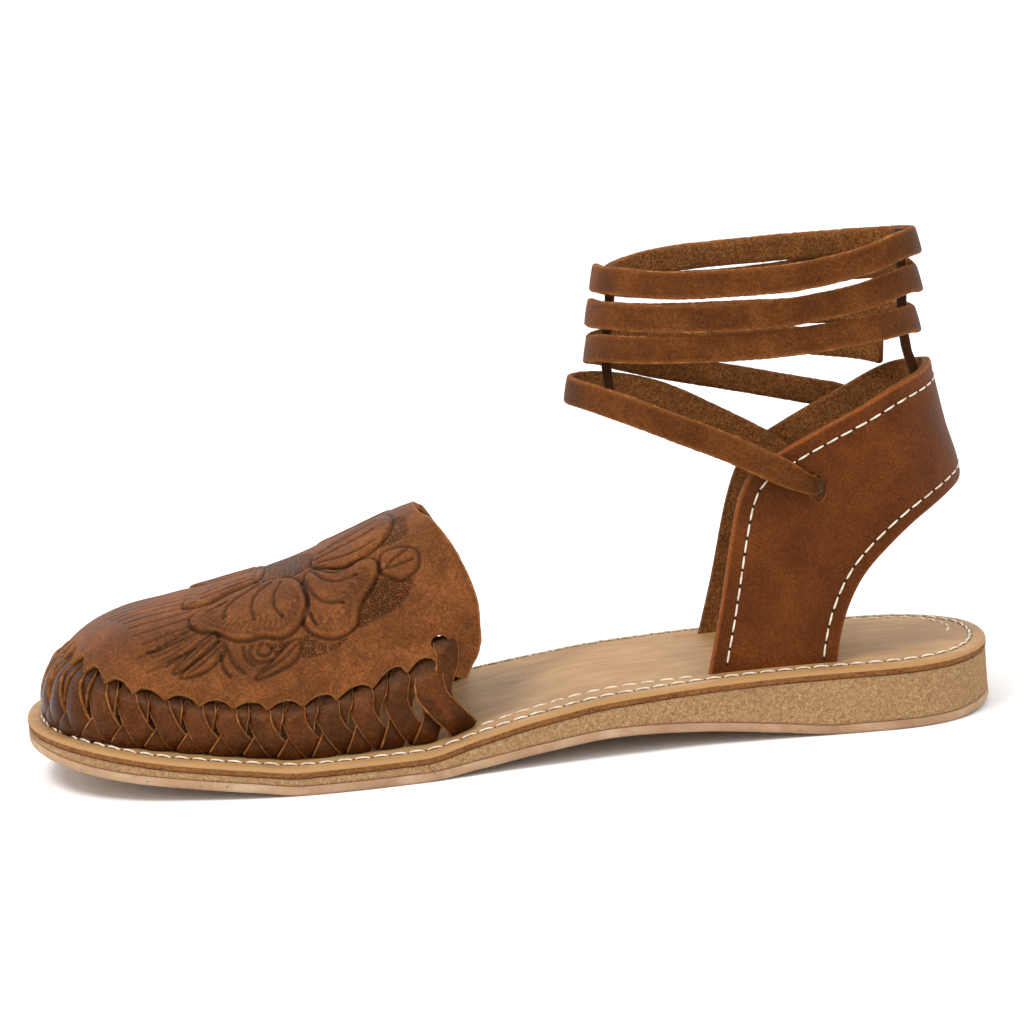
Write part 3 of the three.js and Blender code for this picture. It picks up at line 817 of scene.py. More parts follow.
def cut(item, points, faces, materials):
    """Cuts a closed shape out of an object. The walls of the cut get the third material."""
    cutter = make("cutter", points, faces, materials, [2] * len(faces))
    modifier = item.modifiers.new("cut", "BOOLEAN")
    modifier.operation = "DIFFERENCE"
    modifier.solver = "EXACT"
    modifier.object = cutter
    bpy.context.view_layer.update()
    shown = item.evaluated_get(bpy.context.evaluated_depsgraph_get())
    data = bpy.data.meshes.new_from_object(shown)
    item.modifiers.clear()
    old = item.data
    item.data = data
    bpy.data.meshes.remove(old)
    bpy.data.objects.remove(cutter)


def cut_slot(item, y, materials):
    """The walls of a slot with round ends in the insole, painted dark as shade. The cutter's faces look
    inward, so that the leather between the walls stays."""
    half = (CUFF_WALL + SLOT_PLAY) / 2
    run = (SLOT[1] - SLOT[0]) / 2 - half
    below, above = 9.0, 26.0
    c, s = circle(32)
    flat = np.hstack([c * half + np.sign(c) * run + (SLOT[0] + SLOT[1]) / 2, s * half + y])
    rings = np.array([np.column_stack([flat, np.full(len(flat), z)]) for z in (below, above)])
    cut(item, *tube(rings), materials)


def make_midsole():
    # The negative tones are painted shade in the seams against the insole and the outsole, darker the deeper
    # into them.
    profile = [(1.2, 0, "top", 0, -0.5), (0.4, -0.03, "top", 0, -0.3), (0.3, -0.3, "top", 0, -0.1)]
    profile += [(0.3, -0.8, "top", 0, 0), (0.25, 0.9, "bottom", 0, 0), (0.22, 0.3, "bottom", 0, -0.1)]
    profile += [(0.34, 0, "bottom", 0, -0.35), (1.2, 0, "bottom", 0, -0.5)]
    midsole = make_layer("midsole_board", profile, midsole_height, [M_BOARD], (2, 6), (0.07, 2.2, 8))
    return place(midsole, "midsole", "midsole")


def make_outsole():
    # The negative tones are painted shade: in the seam against the midsole, darker the deeper into it, and on
    # the underside.
    profile = [(1.2, -SEAM, "top", 0, -0.5), (0.34, -SEAM, "top", 0, -0.35), (0.18, -0.22, "top", 0, -0.1)]
    profile += [(0.16, -0.5, "top", 0, 0), (0.12, 0.8, "bottom", 0, 0), (0.3, 0.28, "bottom", 0, -0.1)]
    profile += [(0.75, 0.04, "bottom", 0, -0.3), (1.6, 0, "bottom", 0, -0.3)]
    outsole = make_layer("outsole_crepe", profile, outsole_height, [M_CREPE], (2, 6), (0.06, 3.1, 9))
    return place(outsole, "outsole", "outsole")


# ---------------------------------------------------------------- stitches


def stitch(start, end, up, thick, rise, lean):
    """One visible stitch: a short thread from hole to hole that stands proud in its middle."""
    t = np.linspace(0, 1, 9)[:, None]
    along = end - start
    side = unit(np.cross(up, along))
    lift = np.sin(np.pi * np.clip(t * 1.04, 0, 1)) ** 0.6 * rise
    centre = start + along * t + up * lift + side * lean * (t - 0.5)
    radius = thick / 2 * (0.62 + 0.38 * np.sin(np.pi * np.clip(t * 1.02, 0, 1)) ** 0.5)
    c, s = circle(8)
    return tube(centre[:, None] + (c * side + s * 0.75 * up) * radius[..., None])


def needle_hole_shade(at, up, radius):
    """A small dark dimple between two stitches: painted shade for the hole the needle made."""
    side = unit(np.cross(up, [0.3, 0.9, 0.2]))
    c, s = circle(8)
    around = (c * side + s * np.cross(up, side)) * radius
    rings = [(0.8, -0.5), (1, 0.03), (0.5, 0.06)]
    return tube(np.array([at + around * wide + up * lift for wide, lift in rings]))


def sew(parts, line, ups, pitch, gap, thick, rise, lean, hole):
    """Stitches along a polyline, with an up direction at each of its points."""
    along = lengths(line)
    count = max(1, round(along[-1] / pitch))
    step = along[-1] / count
    for k in range(count):
        jitter = rng.uniform(-0.12, 0.12)
        a, b = k * step + gap / 2 + jitter, (k + 1) * step - gap / 2 + jitter
        up = unit(between_rows((a + b) / 2, along, ups))
        start, end = between_rows(max(a, 0), along, line), between_rows(min(b, along[-1]), along, line)
        parts.add(*stitch(start, end, up, thick, rise, lean + rng.uniform(-0.1, 0.1)))
        spot = between_rows(k * step + jitter, along, line)
        # A dark plug of painted shade marks each needle hole.
        parts.add(*needle_hole_shade(spot, unit(between_rows(k * step, along, ups)), hole), 1)


# The second row of stitches: from the lacing to the cuff's outer foot, and from its inner foot round
# the heel.
INNER_ROW = [(-100, -31.6), (-88, -28.5), (-76, -25.6), (-62, -23.9), (-50, -23.6), (-42.6, -23.8)]
FAR_ROW = [(-2, 24.6), (8, 24.2), (16, 22.6), (22.5, 19), (26.5, 13), (28.2, 6), (27, 0.5)]
STITCH_INSET = 4.1
STITCH_DEPTH = 0.22


def make_insole_stitching():
    parts = Parts()
    ring = OUTLINE + INWARD * STITCH_INSET
    ring = np.vstack([ring, ring[:1]])
    for row in (ring, smooth(resample(INNER_ROW, 60), 3), smooth(resample(FAR_ROW, 90), 4)):
        line = np.column_stack([row, sole_top(row[:, 0]) - STITCH_DEPTH])
        ups = np.tile([0.0, 0.0, 1.0], (len(row), 1))
        sew(parts, line, ups, pitch=4.75, gap=0.8, thick=0.72, rise=0.3, lean=-0.45, hole=0.36)
    return place(parts.make("insole_stitching", [M_THREAD, M_PAINTED_SHADE]), "thread")


# ---------------------------------------------------------------- vamp

vamp_inset = curve(VAMP, 1)
vamp_ridge = curve(VAMP, 2)
vamp_seam = curve(VAMP, 3)
vamp_swell = curve(VAMP, 4)
vamp_power = curve(VAMP, 5)
throat_outer = curve(THROAT, 1)
throat_inner = curve(THROAT, 2)


def vamp_base(way):
    """A place on the vamp's base line: way runs from -1 (outer rear) by 0 (toe) to 1 (inner rear)."""
    side = np.where(way < 0, -1.0, 1.0)
    far = np.abs(way)
    turn_y = sole_edge(VAMP_TURN, side) - side * vamp_inset(VAMP_TURN)
    angle = np.clip(far / TOE_PART, 0, 1) * np.pi / 2
    front_x = mix(VAMP_TURN, VAMP_TIP, np.maximum(np.cos(angle), 0) ** (2 / TOE_POWER))
    front_y = mix(sole_mid(front_x), turn_y, np.sin(angle) ** (2 / TOE_POWER))
    back = np.clip((far - TOE_PART) / (1 - TOE_PART), 0, None)
    side_x = mix(VAMP_TURN, VAMP_REAR, back)
    side_y = sole_edge(side_x, side) - side * vamp_inset(side_x)
    toe = far < TOE_PART
    return np.where(toe, front_x, side_x), np.where(toe, front_y, side_y), back


def vamp_point(way, rise):
    """A point of the vamp's outer face, by the way along the base line and the rise to the ridge."""
    x0, y0, back = vamp_base(way)
    power = vamp_power(x0)
    lean = 1 - np.maximum(1 - rise**power, 0) ** (1 / power)
    out = unit(np.stack([np.minimum(0, x0 - VAMP_TURN), y0 - RIDGE_Y], axis=-1))
    swell = vamp_swell(x0) * np.sin(np.pi * np.sqrt(rise)) * (1 - rise)
    throat = np.where(way < 0, throat_outer(rise), throat_inner(rise))
    x = np.where(back > 0, mix(VAMP_TURN, throat, back), mix(x0, VAMP_TURN, lean))
    x = x + out[..., 0] * swell
    y = mix(y0, RIDGE_Y, lean) + out[..., 1] * swell
    foot = sole_top(x0) + GAP
    return np.stack([x, y, mix(foot, vamp_ridge(x), rise)], axis=-1)


def seam_rise(way):
    x, _, _ = vamp_base(way)
    foot = sole_top(x) + GAP
    return (vamp_seam(x) - foot) / (vamp_ridge(x) - foot)


def make_ways(count):
    """Ways spaced evenly along the lacing."""
    way = np.linspace(-1, 1, 2001)
    along = lengths(vamp_point(way, 0.6 * seam_rise(way)))
    return np.interp(np.linspace(0, along[-1], count), along, way), along[-1]


LACE_GRID, LACE_LENGTH = make_ways(1201)
LACE_AT = np.linspace(0, LACE_LENGTH, len(LACE_GRID))
HOLES = 28
FIRST_HOLE = 14.2
PITCH = (LACE_LENGTH - 2 * FIRST_HOLE) / (HOLES - 1)


def way_at(distance):
    return np.interp(distance, LACE_AT, LACE_GRID)


def motif(points, way):
    """Flat places on the vamp's leather, as if it were unrolled: along the foot, and down from the ridge."""
    steps = np.linalg.norm(np.diff(points, axis=1), axis=2)
    down = np.concatenate([np.cumsum(steps[:, ::-1], axis=1)[:, ::-1], np.zeros((len(points), 1))], axis=1)
    side = np.where(way < 0, -1.0, 1.0)[:, None]
    angle = (np.clip(np.abs(way) / TOE_PART, 0, 1) * np.pi / 2)[:, None]
    _, _, back = vamp_base(way)
    toe = (back <= 0)[:, None]
    a = np.where(toe, VAMP_TURN - down * np.cos(angle), points[..., 0])
    b = np.where(toe, side * down * np.sin(angle), side * down)
    return a, b


# The tooled flower on the flattened leather: along the foot, and down from the ridge (outer side
# negative). Its petals and leaves have a cut outline and swell inside it.
HEART = [
    (-155.5, -12.5), (-151, -13.5), (-146, -15), (-142, -13.5), (-140.5, -9),
    (-144.5, 0), (-150, 3.5), (-155, 0), (-156.5, -7.5),
]
LOW_FRONT_PETAL = [
    (-155.5, -12.5), (-160, -13.5), (-169.5, -18), (-173.5, -20.5), (-173.5, -24), (-170.5, -27.5),
    (-167, -29), (-162, -33), (-158, -34.5), (-154.5, -34.5), (-148.5, -36.5), (-144.5, -34.5),
    (-142, -31), (-142, -27), (-143.5, -20), (-147, -15.5),
]
LOW_REAR_PETAL = [
    (-143.5, -20), (-142, -27.5), (-143.5, -33.5), (-141.5, -37.5), (-137, -40.5), (-133, -41),
    (-129.5, -39.5), (-128, -34), (-124.5, -29.5), (-123, -26.5), (-123.5, -22), (-127, -20),
    (-133, -20.5), (-140.5, -15.5),
]
TOP_REAR_PETAL = [
    (-140.5, -9), (-131.5, -2), (-123.5, 1.5), (-119, -5), (-119.5, -13.5), (-123, -18), (-127, -19.5),
    (-133, -20), (-140.5, -15),
]
TOP_FRONT_PETAL = [
    (-156, -11), (-162, -12.5), (-169.5, -16), (-175.5, -14.5), (-175, -8.5), (-168.5, -3),
    (-161, 1), (-155, 2),
]
SMALL_LEAF = [
    (-122.5, -26.5), (-120, -29), (-117, -31), (-113.5, -30), (-112, -27.5), (-112.5, -23.5), (-115.5, -21.5),
    (-119.5, -20.5), (-122, -21),
]
LOW_LEAF = [
    (-144.5, -38), (-144.5, -41), (-146, -43.5), (-150, -45), (-156.5, -45.5), (-151, -41), (-147, -38),
]
LONG_LEAF = [(-167, -29), (-172, -31.5), (-178.5, -37.5), (-172, -36), (-166, -32)]
WIDE_LEAF = [(-165, -32), (-170, -34.5), (-176.5, -39), (-169, -39.5), (-164, -35)]
PETALS = [LOW_FRONT_PETAL, LOW_REAR_PETAL, TOP_REAR_PETAL, TOP_FRONT_PETAL]
LEAVES = [SMALL_LEAF, LOW_LEAF, LONG_LEAF, WIDE_LEAF]
RIMS = [
    [
        (-165, -19.5), (-169.5, -21), (-170.5, -23.5), (-168, -26), (-163, -30), (-158.5, -32), (-154, -32.3),
        (-149, -34), (-146, -32), (-144, -28.5),
    ],
    [
        (-141, -34), (-139.5, -37), (-136, -38.7), (-133, -39), (-131, -37), (-130, -32.5), (-126.5, -28.5),
        (-125, -25),
    ],
]
VEINS = [
    [(-154, -14), (-158.5, -17), (-163, -20.5), (-164.5, -25.5)],
    [(-151.5, -15.5), (-155.5, -19), (-157, -24), (-156, -29)],
    [(-149, -17), (-151, -22.5), (-150.5, -27), (-148.5, -30.5)],
    [(-143, -19), (-140.5, -26), (-137.5, -30), (-132, -32)],
    [(-141, -17), (-137, -23), (-133.5, -25), (-128.5, -25)],
    [(-140, -16.5), (-134.5, -21.5), (-129, -21)],
    [(-139.5, -12.5), (-131.5, -11), (-123, -9.5)],
    [(-139, -14.5), (-130.5, -16.5), (-123, -15)],
    [(-138.5, -9.5), (-130, -6.5), (-122.5, -4)],
    [(-136, -7.5), (-129, -3.5), (-123.5, -1)],
    [(-157, -9), (-164, -10.5), (-171, -13)],
    [(-157, -6), (-164.5, -7), (-171.5, -9.5)],
    [(-156.5, -2.5), (-163, -3), (-169.5, -5.5)],
    [(-122, -26), (-118, -26.5), (-113.5, -26)],
    [(-120.5, -25.5), (-117.5, -23.5), (-115, -22.7)],
    [(-145, -39), (-149, -42), (-155, -44.5)],
    [(-167.5, -30.5), (-172, -33.5), (-177, -36.7)],
    [(-165, -33.5), (-170, -37), (-175, -38.7)],
    [(-159.5, -35.5), (-159, -39), (-156.5, -42)],
    [(-157, -36), (-158, -38), (-155.5, -41.3), (-152, -41.5)],
    [(-154.5, -36), (-155.7, -38.5), (-153.5, -40), (-152, -38.5), (-153.2, -36.7)],
    [(-163.5, -35.5), (-162, -40), (-159, -43.5)],
    [(-165.5, -36), (-165, -40), (-163, -43.5)],
]
# Rays that run from the flower toward the toe: start, end, and how far the middle bows.
RAYS = [((-172 - 1.5 * (k % 2), -27.5 + 3.4 * k), (-184 - 2.2 * k, -31 + 4.1 * k), 0.8) for k in range(9)]
RAYS += [((-171 - k, -30 + 0.9 * k), (-181 - 1.4 * k, -35 + 1.8 * k), -0.5) for k in range(4)]
RAYS += [((-170 - 2.1 * k, -31.5 - 0.4 * k), (-175.5 - 2.3 * k, -34.5 - 0.3 * k), 0.4) for k in range(5)]
RAYS += [((-172 - 2.4 * k, -25 - 0.9 * k), (-178 - 2.2 * k, -26 - 1.2 * k), -0.4) for k in range(5)]
PUNCHED = [
    HEART,
    [
        (-128, -25), (-123, -28), (-114, -31.5), (-115.5, -36), (-119, -38.5), (-124, -39.5), (-129.5, -40.5),
        (-128, -34),
    ],
    [(-143, -37), (-138, -41), (-131, -41.5), (-134, -43.5), (-140, -44.5), (-144.5, -43)],
    [(-123, -18), (-118.5, -19.5), (-114.5, -17), (-115.5, -9), (-118.5, -7.5), (-119.3, -13.5)],
    [(-152.5, -37), (-146, -38), (-148, -42), (-151, -41)],
]


def drawn(points, closed=False):
    """A smooth line through flat points."""
    p = np.array(points, float)
    if closed:
        p = np.vstack([p[-2:], p, p[:2]])
    line = spline(p, 40 * len(p))
    return line[80:-40] if closed else line[::6]


def distance_to(a, b, line):
    """How far each flat place is from a line, up to 3 mm."""
    found = np.full(a.shape, 3.0)
    low, high = line.min(0) - 3, line.max(0) + 3
    near = (a > low[0]) & (a < high[0]) & (b > low[1]) & (b < high[1])
    p = np.stack([a[near], b[near]], axis=1)
    start, step = line[:-1], np.diff(line, axis=0)
    length = np.maximum((step**2).sum(1), 1e-9)
    best = np.full(len(p), 3.0)
    for s, d, n in zip(start, step, length):
        t = np.clip(((p - s) @ d) / n, 0, 1)
        best = np.minimum(best, np.linalg.norm(p - s - t[:, None] * d, axis=1))
    found[near] = best
    return found


def within(a, b, line):
    """Whether each flat place is inside a closed line."""
    inside = np.zeros(a.shape, bool)
    for (a0, b0), (a1, b1) in zip(line, np.roll(line, -1, axis=0)):
        crosses = (b0 > b) != (b1 > b)
        inside ^= crosses & (a < (a1 - a0) * (b - b0) / (b1 - b0 + 1e-12) + a0)
    return inside


def tooling(a, b):
    """Height, tone and punched background of the tooled pattern, alike on both sides of the ridge. The tone
    holds painted shade in the cuts, beside their own darker colour, and a painted highlight along them.
    """
    calm = 1 - 0.75 * np.exp(-(((b - 1.5) / 5) ** 2))
    b = np.where(b < 3.5, b, -b)
    height, tone, punched = np.zeros_like(a), np.zeros_like(a), np.zeros_like(a)

    def groove(distance, depth, width, dark):
        nonlocal height, tone
        cut = np.exp(-((distance / width) ** 2))
        height = height - depth * cut
        # Painted shade in the cut, with its own darker colour, then a painted highlight a little way to each
        # side.
        tone = tone - dark * np.exp(-((distance / (1.15 * width)) ** 2))
        tone = tone + 0.12 * np.exp(-(((distance - 2.1 * width) / (0.8 * width)) ** 2))

    for shape in PUNCHED:
        line = drawn(shape, closed=True)[::8]
        edge = distance_to(a, b, line)
        inside = within(a, b, line)
        punched = np.maximum(punched, np.where(inside, np.clip(edge / 0.6, 0, 1), 0))
        height = height - np.where(inside, 0.18 * np.clip(edge, 0, 1), 0)
    for shape, swell, depth in [(p, 0.7, 0.6) for p in PETALS] + [(p, 0.4, 0.45) for p in LEAVES]:
        line = drawn(shape, closed=True)[::6]
        edge = distance_to(a, b, line)
        inside = within(a, b, line)
        punched = np.where(inside, 0, punched)
        height = height + np.where(inside, swell * (1 - np.exp(-edge / 0.8)), -0.1 * np.exp(-edge / 1.2))
        groove(edge, depth, 0.42, 0.85)
    groove(distance_to(a, b, drawn(HEART, closed=True)[::6]), 0.4, 0.4, 0.55)
    for shape in RIMS:
        groove(distance_to(a, b, drawn(shape)), 0.32, 0.4, 0.4)
        hatch(shape, groove, a, b)
    for shape in VEINS:
        groove(distance_to(a, b, drawn(shape)), 0.5, 0.42, 0.8)
    for start, end, bow in RAYS:
        middle = ((start[0] + end[0]) / 2, (start[1] + end[1]) / 2 + bow)
        groove(distance_to(a, b, drawn([start, middle, end])), 0.3, 0.36, 0.55)
    return calm * height, tone * (0.4 + 0.6 * calm), punched


def hatch(rim, groove, a, b):
    """Short strokes inside a petal's rim, toward the flower's heart."""
    heart = np.array([-147.0, -12.0])
    for k, at in enumerate(resample(np.array(rim, float), 26)):
        way = unit(heart - at)
        reach = 1.4 + 1.0 * (k * 7 % 3)
        groove(distance_to(a, b, np.array([at + 0.7 * way, at + (0.7 + reach) * way])), 0.2, 0.34, 0.6)


# How high the leather starts at its holes, as a part of the band's height: lower round the toe.
EDGE_HIGH = 1.22
SCALLOP = 0.19
# Way and rise of the round hole at each rear corner.
LACE_HOLES = [(-0.932, 0.44), (0.932, 0.44)]
LACE_HOLE_RADIUS = 2.3


def leather_edge(reach):
    return EDGE_HIGH - 0.14 * np.exp(-(((reach - LACE_LENGTH / 2) / 21) ** 2))


def hole_cutter(way, rise):
    """A short round punch through the vamp's wall."""
    middle = vamp_point(np.array([way]), np.array([rise]))[0]
    outward = unit(np.array([0.0, middle[1] - RIDGE_Y, 6.0]))
    side = unit(np.cross(outward, [0.0, 0.0, 1.0]))
    c, s = circle(24)
    ring = LACE_HOLE_RADIUS * (c * side + 0.85 * s * np.cross(side, outward))
    return tube(np.array([middle + ring + outward * d for d in (-6, 4)]))


def scallop(reach):
    """The leather's lower edge: 0 above a hole, rising to 1 at the cusp between two holes."""
    from_hole = np.abs((reach - FIRST_HOLE + PITCH / 2) % PITCH - PITCH / 2) / (PITCH / 2)
    between = (reach > FIRST_HOLE - PITCH / 2) & (reach < LACE_LENGTH - FIRST_HOLE + PITCH / 2)
    return np.where(between, from_hole**2.4, 1.0)


def close_rim(bank, outer_loop, inner_loop, inner_at, away):
    """The cut edge between a fine outer loop and a coarser inner one: rings that bulge, then a fan."""
    points = np.vstack(bank.points)
    deep = np.interp(np.arange(len(outer_loop)), inner_at, np.arange(len(inner_loop)))
    facing = between_rows(deep, np.arange(len(inner_loop)), points[inner_loop])
    previous = outer_loop
    for depth, bulge in ((0.14, 0.3), (0.5, 0.42), (0.86, 0.3)):
        ring = mix(points[outer_loop], facing, depth) + away * bulge
        ring += away * (0.12 * wobble(ring, 0.8, 33))[:, None]
        current = np.arange(bank.count, bank.count + len(ring))
        bank.add(ring, [], 2, 0.3)
        bank.faces += cells(np.stack([previous, current]), wrap=True)
        previous = current
    low = inner_loop[np.round(deep).astype(int)]
    bank.faces += cells(np.stack([previous, low]), wrap=True)
    bank.slots += [2] * (len(bank.faces) - len(bank.slots))


def make_vamp():
    columns, rows = 673, 127
    column_step, row_step = 4, 3
    reach = np.linspace(0, LACE_LENGTH, columns)
    way = way_at(reach)
    low = seam_rise(way) * (leather_edge(reach) - SCALLOP * scallop(reach))
    rise = mix(low[:, None], 1.0, np.sin(np.linspace(0, 1, rows) * np.pi / 2)[None])
    grid = vamp_point(way[:, None] + 0 * rise, rise)
    a, b = motif(grid, way)
    points, ids = weld(grid)
    faces = cells(ids)
    # This grid's faces look inward.
    normals = -normals_of(points, faces)
    lift, tone, stipple = (np.zeros(len(points)) for _ in range(3))
    for field, values in zip((lift, tone, stipple), tooling(a, b)):
        field[ids] = values
    for end in (0, -1):
        tone[ids[end]] += 0.8
    lift += 0.12 * wobble(points, 9, 21) + 0.03 * wobble(points, 2.5, 22)
    outer = points + normals * lift[:, None]
    coarse = ids[::column_step, ::row_step]
    used, inner_ids = np.unique(coarse, return_inverse=True)
    inner_ids = inner_ids.reshape(coarse.shape) + len(points)
    inner = points[used] - normals[used] * VAMP_WALL
    bank = Parts()
    bank.add(np.vstack([outer, inner]), faces, 0, np.concatenate([tone, np.zeros(len(inner))]))
    bank.faces += [face[::-1] for face in cells(inner_ids)]
    bank.slots += [1] * (len(bank.faces) - len(bank.slots))

    def loop(table, first=0, last=-1, side=0):
        return np.concatenate([table[:, side], table[last, 1:], table[first, ::-1][1:]])

    outer_loop = loop(ids)
    beside = loop(ids, 1, -2, 1)
    along = np.arange(row_step, rows, row_step)
    ends = [columns - 1 + along, columns + rows - 2 + along]
    inner_at = np.concatenate([np.arange(0, columns, column_step), *ends])
    close_rim(bank, outer_loop, loop(inner_ids), inner_at, unit(points[outer_loop] - points[beside]))
    materials = [M_VAMP, M_FLESH, M_EDGE]
    vamp = bank.make("vamp_leather", materials)
    marks = np.zeros(bank.count)
    marks[: len(stipple)] = stipple
    mark(vamp.data, "stipple", marks)
    flat = np.zeros((bank.count, 3))
    flat[ids, 0] = a
    flat[ids, 1] = b
    mark(vamp.data, "flat", flat, "FLOAT_VECTOR", "vector")
    for hole in LACE_HOLES:
        cut(vamp, *hole_cutter(*hole), materials)
    return place(vamp, "vamp_leather", "vamp")


# ---------------------------------------------------------------- lacing


BAND_FOOT = vamp_point(LACE_GRID, 0 * LACE_GRID)
BAND_TOP = vamp_point(LACE_GRID, seam_rise(LACE_GRID))
BAND_HEIGHT = np.linalg.norm(BAND_TOP - BAND_FOOT, axis=1)


def height_at(distance):
    return np.interp(distance, LACE_AT, BAND_HEIGHT)


def on_band(distance, up, out):
    """A place on the laced band: millimetres along it, up from its foot and out from its face. Past
    the band's ends it goes straight on."""
    inside = np.clip(distance, 0, LACE_LENGTH)
    way = way_at(inside)
    rise = np.clip(up / height_at(inside), 0, 2.2) * seam_rise(way)
    reach = 0.5
    ahead = vamp_point(way_at(np.minimum(inside + reach, LACE_LENGTH)), rise)
    behind = vamp_point(way_at(np.maximum(inside - reach, 0)), rise)
    along = unit(ahead - behind)
    upward = vamp_point(way, rise + 0.02) - vamp_point(way, np.maximum(rise - 0.02, 0))
    outward = unit(np.cross(upward, along))
    at = vamp_point(way, rise) + along * (distance - inside)[..., None] + outward * out[..., None]
    at[..., 2] += np.minimum(up, 0)
    floor = sole_top(at[..., 0]) - 0.1
    at[..., 2] = np.maximum(at[..., 2], floor)
    return at


# The two families of woven strips: part of the band's height, and how far from its hole a strip is.
RISING = [
    (-0.04, 8.4), (0.12, 6.9), (0.28, 5.4), (0.44, 4.2), (0.62, 3.4), (0.82, 2.9), (1.02, 2.4),
    (1.17, 1.9), (1.34, 1.7),
]
FALLING = [
    (-0.04, -9.8), (0.1, -8.5), (0.27, -6.9), (0.45, -5.4), (0.65, -4.0), (0.84, -3.0), (1.02, -2.4),
    (1.17, -1.9), (1.34, -1.7),
]


def strip_offset(family, up):
    return np.interp(up, *zip(*family))


def woven(family, number):
    """The stand-off of a woven strip over the band: over one strip of the other family, under the next."""
    other, sign = (RISING, 1.0) if family is FALLING else (FALLING, -1.0)

    def stand_off(s, up):
        part = up / height_at(s) * EDGE_HIGH / leather_edge(s)
        crossed = (s - strip_offset(other, part) - FIRST_HOLE) / PITCH
        wave = sign * powered(np.cos(np.pi * (np.abs(crossed - number) - 1)), 0.7)
        tuck = smoothstep((part - 0.86) / 0.36)
        return 0.45 + 0.75 * wave * (1 - tuck) - 2.4 * tuck

    return stand_off


def lay_strip(parts, route, width, thick, crown=0.5, shade=0.0, narrow=1.0, stand_off=None):
    """A strip laid on the band, through rows of distance along it, height up it and stand-off. Near
    the leather's edge it can fold narrow, to go through a hole."""
    t = np.linspace(0, 1, 30)
    rows = np.array(route, float)
    key = np.linspace(0, 1, len(rows))
    s, up, out = (curve(np.column_stack([key, rows[:, k]]))(t) for k in range(3))
    tangent = unit(np.stack([np.gradient(s), np.gradient(up)], axis=1))
    tangent = unit(smooth(tangent, 4))
    v = np.array([-1, -0.9, -0.66, -0.33, 0, 0.33, 0.66, 0.9, 1])
    fold = smoothstep((leather_edge(s) + 0.02 - up / height_at(s)) / 0.32)
    half = width / 2 * mix(narrow, 1, fold)[:, None]
    across_s = s[:, None] - tangent[:, 1:2] * v[None] * half
    across_up = up[:, None] + tangent[:, 0:1] * v[None] * half
    if stand_off:
        out = stand_off(across_s, across_up)
    else:
        out = np.repeat(out[:, None], len(v), axis=1)
    bow = out + crown * (1 - np.abs(v[None]) ** 2.6)
    top = on_band(across_s, across_up, bow)
    low = on_band(across_s, across_up, bow - thick)
    edge_a = mix(top[:, 0], low[:, 0], 0.5) + (top[:, 0] - top[:, 1]) * 0.1
    edge_b = mix(top[:, -1], low[:, -1], 0.5) + (top[:, -1] - top[:, -2]) * 0.1
    rings = np.concatenate([top, edge_b[:, None], low[:, ::-1], edge_a[:, None]], axis=1)
    m = rings.shape[1]
    rings += 0.1 * wobble(rings, 2.2, 71)[..., None]
    points, faces = tube(rings)
    column = [1 if k in (0, 7, 8, 9, m - 2, m - 1) else 0 for k in range(m)]
    # Painted shade: the top face is darker along its bowed edges, and the whole strip is darker where it
    # sinks under others or behind the leather.
    tone = np.zeros(m)
    tone[[1, 7]] = -0.35
    deep = -0.6 * np.clip((0.7 - out.mean(1)) / 1.6, 0, 1)
    value = (tone[None] + deep[:, None] + shade).reshape(-1)
    parts.add(points, faces, tube_slots(column, rings, 1), np.concatenate([value, [0, 0]]))


def make_lacing():
    parts = Parts()
    for family, first, width, dark in ((RISING, -1, 6.0, 0.08), (FALLING, 1, 6.2, 0.0)):
        for k in range(first, HOLES):
            at = FIRST_HOLE + k * PITCH
            high = float(height_at(at) * leather_edge(at) / EDGE_HIGH)
            route = [(at + offset, part * high, 0) for part, offset in family]
            if k < 0:
                route = route[:6]
            if route[0][0] < LACE_LENGTH:
                shade = rng.uniform(-0.14, 0.1) - dark
                lay_strip(parts, route, width, 1.2, 0.35, shade, 0.3, woven(family, k))
    finish_ends(parts)
    return place(parts.make("lacing_strips", [M_LACE, M_STRAP_EDGE]), "lacing_leather", "vamp_lacing")


# The two strips at each rear end: distance along the band, part of its height, stand-off.
HANGING = [
    (9.6, 1.46, -1.9), (9.5, 1.36, -0.4), (9.0, 1.2, 0.8), (8.0, 0.9, 0.9), (6.8, 0.55, 0.3), (6, 0.3, -0.6),
]
TAIL = [
    (13.4, 1.16, -1.7), (13.2, 1.06, -0.6), (12.6, 0.93, 1.0), (10.6, 0.72, 1.9), (7.2, 0.44, 2.3),
    (4.0, 0.2, 2.1), (1.6, 0.0, 1.2),
]


def finish_ends(parts):
    """At each rear end a strip hangs from the round hole, and the tail is laid over it."""
    for start, sign in ((0, 1), (LACE_LENGTH, -1)):
        high = float(height_at(start + sign * FIRST_HOLE))

        def lay(rows, width, crown):
            route = [(start + sign * s, part * high, out) for s, part, out in rows]
            lay_strip(parts, route, width, 1.4, crown)

        lay(HANGING, 6.0, 0.45)
        lay(TAIL, 7.0, 0.55)


# ---------------------------------------------------------------- heel cuff

cuff_half = curve(CUFF_PLAN, 1)
cuff_back = curve(CUFF_PLAN, 2)


def cuff_length(z):
    half = cuff_half(z)
    return cuff_back(z) - half - CUFF_FRONT + half * np.pi / 2


def cuff_point(wrap, z, side, inset=0.0):
    """A point of the cuff: wrap runs from 0 near the slots to 1 at the middle of the back."""
    half = cuff_half(z)
    centre = cuff_back(z) - half
    along = wrap * cuff_length(z) + CUFF_FRONT
    angle = np.maximum(0, (along - centre) / half)
    reach = half - inset
    x = np.where(angle > 0, centre + reach * np.sin(angle), along)
    return np.stack([x, CUFF_Y + side * reach * np.cos(angle), z + 0 * x], axis=-1)


